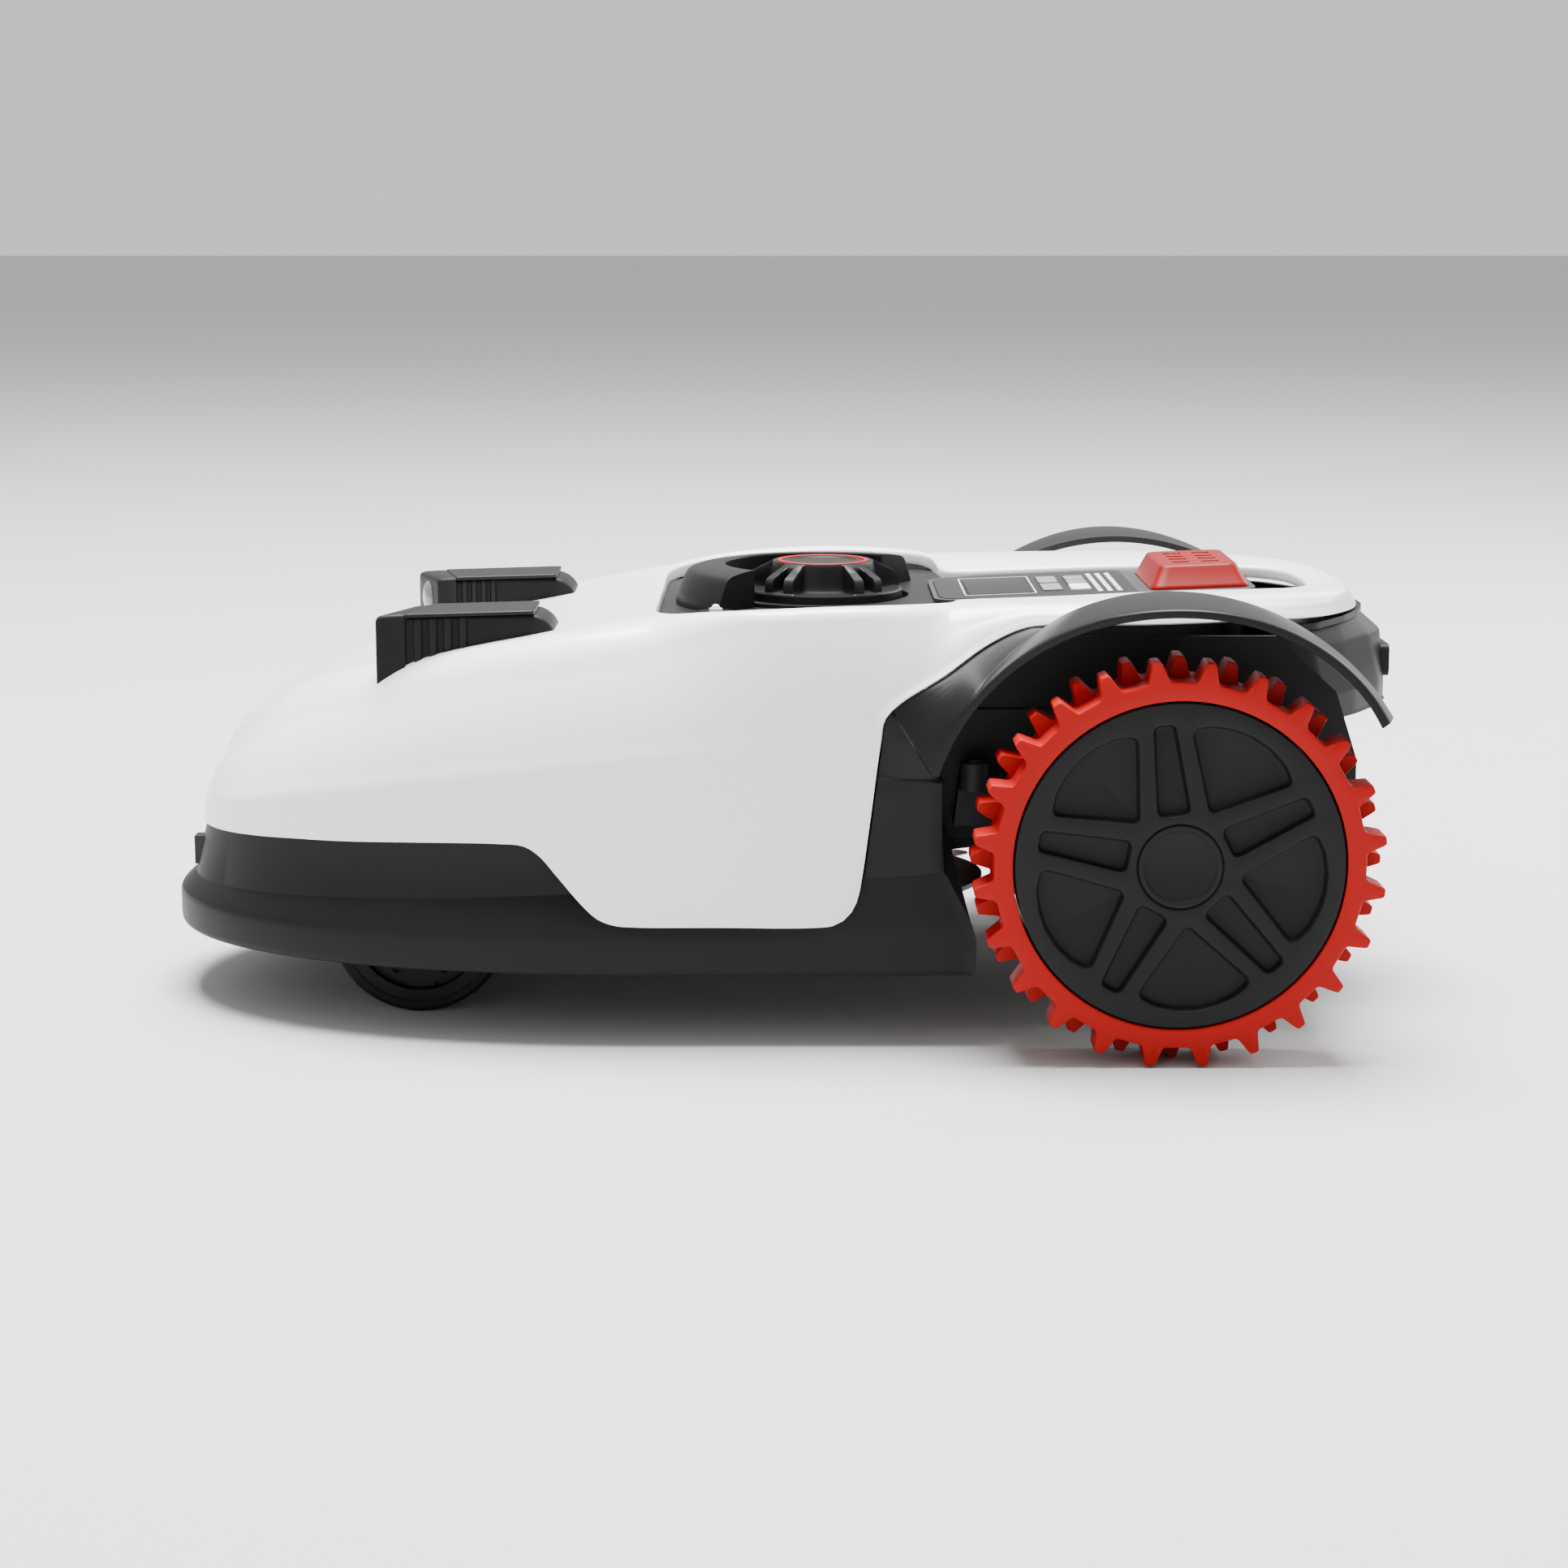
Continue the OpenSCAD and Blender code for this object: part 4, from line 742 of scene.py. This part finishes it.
def build_knob():
    def share(a, middle, reach, edge):
        """How much of a pocket or slot there is at an angle: 1 inside it, 0 past its edge."""
        off = abs((a - middle + FIFTH / 2) % FIFTH - FIFTH / 2)
        t = min(1, max(0, (reach - off) / edge))
        return t * t * (3 - 2 * t)

    marks = set()
    for middle, offsets in ((KNOB_WIDE, (23.6, 23.3, 22.9, 22.5, 22.0, 21.4, 18, 12, 6, 0)),
                            (KNOB_THIN, (5.0, 4.7, 4.35, 4.0, 3.7, 2, 0))):
        marks |= {round(middle + s * d, 3) % FIFTH for d in offsets for s in (-1, 1)}
    rows = [[] for _ in KNOB_RIDGE]
    angles = [FIFTH * k + m for k in range(5) for m in sorted(marks)]
    for a in angles:
        w, t = share(a, KNOB_WIDE, 23.6, 2.2), share(a, KNOB_THIN, 5.0, 1.3)
        for row, ridge, pocket, slot in zip(rows, KNOB_RIDGE, KNOB_POCKET, KNOB_SLOT):
            r = ridge[0] + (pocket[0] - ridge[0]) * w + (slot[0] - ridge[0]) * t
            z = ridge[1] + (pocket[1] - ridge[1]) * w + (slot[1] - ridge[1]) * t
            row.append(about_knob(*polar(r, a), z))
    top = [[about_knob(*polar(r, a), z) for a in angles] for r, z in KNOB_TOP[::-1]]
    rim = [[about_knob(*polar(r, a), z) for a in angles] for r, z in KNOB_RIM]
    shape = Shape().grid(top + rows + rim, close_cols=True)
    piece("knob_skin", shape, "knob", "knob_black", "height_knob", sharp=32)
    ring = [(28.9, 265.6), (28.9, 266.8), (28.5, 267.1), (26.1, 267.1), (25.7, 266.8), (25.7, 265.6)]
    shape = Shape().turned(ring, 120, about_knob, close_rows=True)
    piece("ring_skin", shape, "knob", "ring_red", "knob_ring", sharp=40)


build_knob()


# ---------------------------------------------------------------- deck round the knob

def build_dome():
    profile = [(61.4, 239), (61.4, 264.2), (62, 264.9), (63, 265.1), (72, 264.2), (80, 262.9), (83, 262),
               (85, 260.6), (87, 257.6), (90, 251), (92, 246.4), (92.6, 243), (92.6, 238.6)]
    angles = [-129.2, -128.9, -128] + list(np.linspace(-126, 43, 84)) + [45, 45.9, 46.2]
    rows = [[about_knob(*polar(r, a), z) for a in angles] for r, z in profile]
    shape = Shape().grid(rows, close_rows=True)
    for end in (0, -1):
        shape.cap([row[end] for row in rows])
    dome = piece("dome_skin", shape, "chassis", "deck_grey", "knob_dome", sharp=35)
    soften(dome, 0.7, 40, 3)


build_dome()


# ---------------------------------------------------------------- obstacle sensor pods

TOE = math.tan(math.radians(20))  # a pod's front face is turned outwards by 20 degrees
POD_IN, POD_OUT = 72, 120  # y of a pod's two sides
POD_FRONT = 242  # x of the outer corner of its front face
SLANT_FROM = 186  # x where the sections start to slant towards the front face
LENS_Z = 231.8
LENS_HOLE = 11.0
# Where each rib starts and ends along x
RIBS = [(214.5, 219), (205.5, 210), (196.5, 201), (187.5, 192)]


def lip_top(x):
    """Height of the pod's top, which slopes down towards the front."""
    return 253.72 - 0.0288 * x


def build_pod(side, name):
    def place(s, y, z):
        slant = max(0.0, min(1.0, (s - SLANT_FROM) / (POD_FRONT - SLANT_FROM)))
        return (s + (y - POD_OUT) * TOE * slant, side * y, z)

    def section(s, inset, top, r=2.6):
        y0, y1, low = POD_IN + inset, POD_OUT - inset, 205 + (POD_FRONT - s) * 0.22
        corner = [(y1, low), (y1, top - r)]
        corner += [(y1 - r + y, top - r + z) for y, z in (polar(r, t) for t in (22, 45, 68, 90))]
        mirrored = [(y0 + y1 - y, z) for y, z in corner[::-1]]
        return [place(s, y, z) for y, z in corner + mirrored]

    rows = []
    for s, inset, drop in ((242, 1.3, 3.2), (241.7, 0.6, 2.3), (241, 0.2, 1.5), (239.6, 0, 0.9), (237, 0, 0.5),
                           (232, 0, 0.3), (224.9, 0, 0.3), (224.4, 0.3, 0.6), (224.2, 1, 1.4), (224.1, 2, 2.3)):
        rows.append(section(s, inset, lip_top(s) - drop))
    for a, b in RIBS:
        for s, inset in ((b + 0.5, 2), (b + 0.1, 1.4), (b - 0.3, 0.5), (b - 0.9, 0.2), (a + 0.9, 0.2),
                         (a + 0.3, 0.5), (a - 0.1, 1.4), (a - 0.5, 2)):
            rows.append(section(s, inset, lip_top(s) - 2.3))
    for s, top in ((184, 0), (176, 0), (164, 0), (154, 0), (149, 0.2), (145, 1.1), (141.5, 2.9), (138.6, 5.4),
                   (136.4, 8.4), (134.9, 12), (134, 16), (133.4, 20)):
        inset = 1.6 + 0.9 * max(0.0, (152 - s) / 18) ** 2
        rows.append(section(s, inset, lip_top(s) - 2.3 - top, 3.4 if s < 170 else 2.8))
    shape = Shape().grid(rows)
    face = rows[0]
    squeeze = math.cos(math.atan(TOE))
    circle = [polar(LENS_HOLE, 8 * k) for k in range(45)]
    hole = [((POD_IN + POD_OUT) / 2 + y * squeeze, LENS_Z + z) for y, z in circle]
    edge = [(side * p[1], p[2]) for p in face]

    def on_front(y, z, back=0.0):
        return (POD_FRONT + (y - POD_OUT) * TOE - back, side * y, z)

    shape.flat(edge[::-1], [hole], on_front)
    shape.grid([[on_front(y, z, d) for y, z in hole] for d in (0, 3.5)], close_cols=True)
    shape.flat(hole, [], lambda y, z: on_front(y, z, 3.5))
    shape.cap(rows[-1])
    piece(f"pod_skin_{name}", shape, "floating_cover", "pod_black", f"sensor_pod_{name}", sharp=40)
    plan = rounded([(223.6, 72), (223.9, 120.6), (147, 120.6), (147, 71.4)], [1, 1, 2.5, 2.5])
    plan = [(x + (y - POD_OUT) * TOE * 0.62 if x > 200 else x, y) for x, y in plan]
    lip = Shape()
    lip.tube([[(x, side * y, lip_top(x) - drop) for x, y in loop]
              for loop, drop in ((plan, 2.3), (plan, 0.5), (offset_loop(plan, -0.6), 0.0))])
    piece(f"pod_lip_{name}", lip, "floating_cover", "pod_black", f"sensor_pod_{name}", sharp=30)


for side, name in SIDES:
    build_pod(side, name)


# ---------------------------------------------------------------- rear housing and tail

# Rows from the foot up: height, which outline (0 low, 1 middle, 2 top) and its inset
TAIL_LEVELS = [(181, 0.0, 1.0), (183, 0.0, 0.0), (196, 0.0, 0.0), (224, 1.0, 0.0), (226, 1.08, 0.0),
               (240.4, 2.0, 0.0)]
TAIL_LOW = [(-290, 128), (-325, 112), (-350, 78), (-371, 40), (-379, 14)]
TAIL_MID = [(-290, 128), (-318, 112), (-341, 78), (-364, 40), (-376, 12)]
TAIL_TOP = [(-290, 122), (-316, 103), (-338, 68), (-352, 36), (-358, 10)]


def tail_loop(level):
    """The tail's outline at a level, blended between the outlines below and above it."""
    low, mid, top = (np.array(t, float) for t in (TAIL_LOW, TAIL_MID, TAIL_TOP))
    half = low + (mid - low) * min(level, 1) if level <= 1 else mid + (top - mid) * (level - 1)
    points = [tuple(p) for p in half] + [(p[0], -p[1]) for p in half[::-1]]
    return rounded(points, [0.5, 4, 5, 5, 4, 4, 5, 5, 4, 0.5], 4)


def build_tail():
    outer = [[(x, y, z) for x, y in offset_loop(tail_loop(level)[::-1], -inset)]
             for z, level, inset in TAIL_LEVELS]
    shape = Shape().grid(outer, close_cols=True)
    rim = tail_loop(2.0)[::-1]
    inner = offset_loop(rim, -6)
    shape.grid([[(x, y, z) for x, y in loop] for loop, z in ((rim, 240.4), (inner, 240.4), (inner, 236.5))],
               close_cols=True)
    pocket = rounded([(-300.5, -53), (-300.5, 53), (-344, 46), (-344, -46)], 6)
    shape.flat(inner, [pocket], lambda x, y: (x, y, 236.5))
    shape.grid([[(x, y, z) for x, y in pocket] for z in (236.5, 208)], close_cols=True)
    shape.flat(pocket, [], lambda x, y: (x, y, 208))
    shape.flat([(x, y) for x, y, _ in outer[0]], [], lambda x, y: (x, y, 181))
    tail = piece("tail_skin", shape, "chassis", "body_black", "rear_housing", sharp=14)
    soften(tail, 0.8, 14)


def build_wall(side, name):
    """Side wall behind a drive wheel, with its ribs, screw boss and rear post."""
    def slab(shape, outline, y0, y1):
        shape.tube([[(x, side * y, z) for x, z in outline] for y in (y0, y1)])

    wall = Shape()
    slab(wall, [(-86, 118), (-86, 176), (-120, 214), (-160, 238), (-290, 238), (-326, 205), (-339, 165),
                (-339, 118)], 147, 150)
    for z0, z1 in ((150, 157), (188, 195)):
        slab(wall, [(-108, z0), (-108, z1), (-304, z1), (-304, z0)], 149.5, 153)
    piece(f"well_wall_{name}", wall, "chassis", "body_black", "rear_housing", sharp=30)
    boss = Shape()
    screw = [(0.01, 150), (9, 150), (8.6, 166), (8.1, 166.6), (5.6, 166.6), (5.6, 168), (5.2, 168.4),
             (1.2, 168.4), (0.01, 168.4)]
    boss.turned(screw, 40, lambda x, y, z: (-113 + x, side * (168 + y), z))
    slab(boss, [(-123, 128), (-121, 160), (-105, 160), (-101, 128)], 150, 166)
    post = [(0.01, 158), (12.6, 158), (12.6, 160), (8.4, 161), (7.4, 166), (7, 200), (0.01, 200)]
    boss.turned(post, 36, lambda x, y, z: (-316 + x, side * (120 + y), z))
    piece(f"well_parts_{name}", boss, "chassis", "body_black", "rear_housing", sharp=30)


build_tail()
for side, name in SIDES:
    build_wall(side, name)


# ---------------------------------------------------------------- stop button and panel print

PANEL_TILT = math.radians(2.2)
PANEL_FRONT, PANEL_Z = -95, 248  # x and height of the panel's front edge
STOP_X = -258
PRINT_LOW, PRINT_TOP = 0.3, 0.62  # heights of the print's foot and top above the panel


def on_panel(x, y, h):
    """A point on the tilted panel: h is its height above the panel's top face."""
    dx = x - PANEL_FRONT
    return (PANEL_FRONT + dx * math.cos(PANEL_TILT) + h * math.sin(PANEL_TILT), y,
            PANEL_Z - dx * math.sin(PANEL_TILT) + h * math.cos(PANEL_TILT))


def panel_box(cx, cy, a, b, r):
    """A rounded rectangle of a by b round its middle."""
    corners = [(a / 2, -b / 2), (a / 2, b / 2), (-a / 2, b / 2), (-a / 2, -b / 2)]
    return [(cx + x, cy + y) for x, y in rounded(corners, r)]


def add_strip(shape, loop):
    """A raised strip of print with a softened edge."""
    edge = 0.1
    inner = offset_loop(loop, -edge)
    levels = ((loop, PRINT_LOW), (loop, PRINT_TOP - edge),
              (offset_loop(loop, -edge * 0.3), PRINT_TOP - edge * 0.3), (inner, PRINT_TOP))
    shape.grid([[on_panel(x, y, h) for x, y in outline] for outline, h in levels], close_cols=True)
    shape.flat(inner, [], lambda x, y: on_panel(x, y, PRINT_TOP))
    shape.flat(loop, [], lambda x, y: on_panel(x, y, PRINT_LOW))


def build_stop():
    """The stop button, with plain sunken marks where the real one has lettering."""
    shape = Shape()
    foot, top = -11, 14.0
    levels = ((61, 101, 8, foot), (61, 101, 8, 0.6), (60.4, 100.4, 8, 1.6), (58.6, 98.6, 8, 2.6),
              (49, 84.5, 7, 12.2), (48, 83.2, 7, 13.2), (46.6, 81.8, 6.6, 13.8), (44.5, 79.6, 6, top))
    rows = [[on_panel(x, y, h) for x, y in panel_box(STOP_X, 0, a, b, r)] for a, b, r, h in levels]
    shape.grid(rows, close_cols=True)
    marks = [(panel_box(STOP_X + dx, -24 + 16 * k, 11, 7 if k % 2 else 9, 2.4), 0.9)
             for dx in (9, -9) for k in range(4)]
    sunken(shape, panel_box(STOP_X, 0, 44.5, 79.6, 6), marks,
           lambda x, y, h=0.0: on_panel(x, y, top + h), edge=0.3, foot=0.3, draft=0.1)
    shape.flat(panel_box(STOP_X, 0, 61, 101, 8), [], lambda x, y: on_panel(x, y, foot))
    piece("stop_skin", shape, "stop", "stop_red", "stop_button", sharp=35)


def build_print():
    """The display's outline and plain strips where the real panel has words."""
    line = Shape()
    outer, inner = panel_box(-135.5, 0, 44.5, 90, 3), panel_box(-135.5, 0, 43.1, 88.6, 2.6)
    line.flat(outer, [inner], lambda x, y: on_panel(x, y, PRINT_TOP))
    for loop in (outer, inner):
        line.grid([[on_panel(x, y, h) for x, y in loop] for h in (PRINT_TOP, PRINT_LOW)], close_cols=True)
    for x in (-197, -203, -209):
        for k in range(8):
            add_strip(line, panel_box(x, -42 + 12 * k, 3.0, 8.5, 0.6))
    piece("panel_print", line, "chassis", "key_white", sharp=30)


build_stop()
build_print()


# ---------------------------------------------------------------- studio

LENS_MM, SENSOR_MM = 74.05, 36
CAMERA_AT = (-0.0015, 2.024, 0.4862)
CAMERA_DOWN = 10.17  # degrees below level
LAMPS = (("top", (0.1, -0.6, 4.6), 2.9, 1250), ("front", (1.4, 2.6, 1.2), 1.4, 8),
         ("rear", (-2.0, -1.6, 1.5), 1.6, 50))  # name, place in metres, size in metres, watts


def studio():
    floor_mesh = bpy.data.meshes.new("floor")
    floor_mesh.from_pydata([(-30, -30, 0), (30, -30, 0), (30, 30, 0), (-30, 30, 0)], [], [(0, 1, 2, 3)])
    floor = bpy.data.objects.new("floor", floor_mesh)
    bpy.context.scene.collection.objects.link(floor)
    floor.data.materials.append(material("pale_floor", grey(0.52), 0.7, blotch=0.0))
    world = bpy.data.worlds.new("studio")
    world.use_nodes = True
    sky = world.node_tree.nodes["Background"]
    sky.inputs["Color"].default_value = (1, 1, 1, 1)
    sky.inputs["Strength"].default_value = 0.85
    bpy.context.scene.world = world
    middle = Vector((0, 0, 0.12))
    for name, place, size, power in LAMPS:
        lamp = bpy.data.lights.new(name, "AREA")
        lamp.size = size
        lamp.energy = power
        holder = bpy.data.objects.new(name, lamp)
        bpy.context.scene.collection.objects.link(holder)
        holder.location = place
        holder.rotation_euler = (middle - Vector(place)).to_track_quat("-Z", "Y").to_euler()
    view = bpy.data.cameras.new("camera")
    view.sensor_width = SENSOR_MM
    view.lens = LENS_MM
    camera = bpy.data.objects.new("camera", view)
    bpy.context.scene.collection.objects.link(camera)
    camera.location = CAMERA_AT
    camera.rotation_euler = (math.radians(90 - CAMERA_DOWN), 0, math.pi)
    bpy.context.scene.camera = camera


studio()
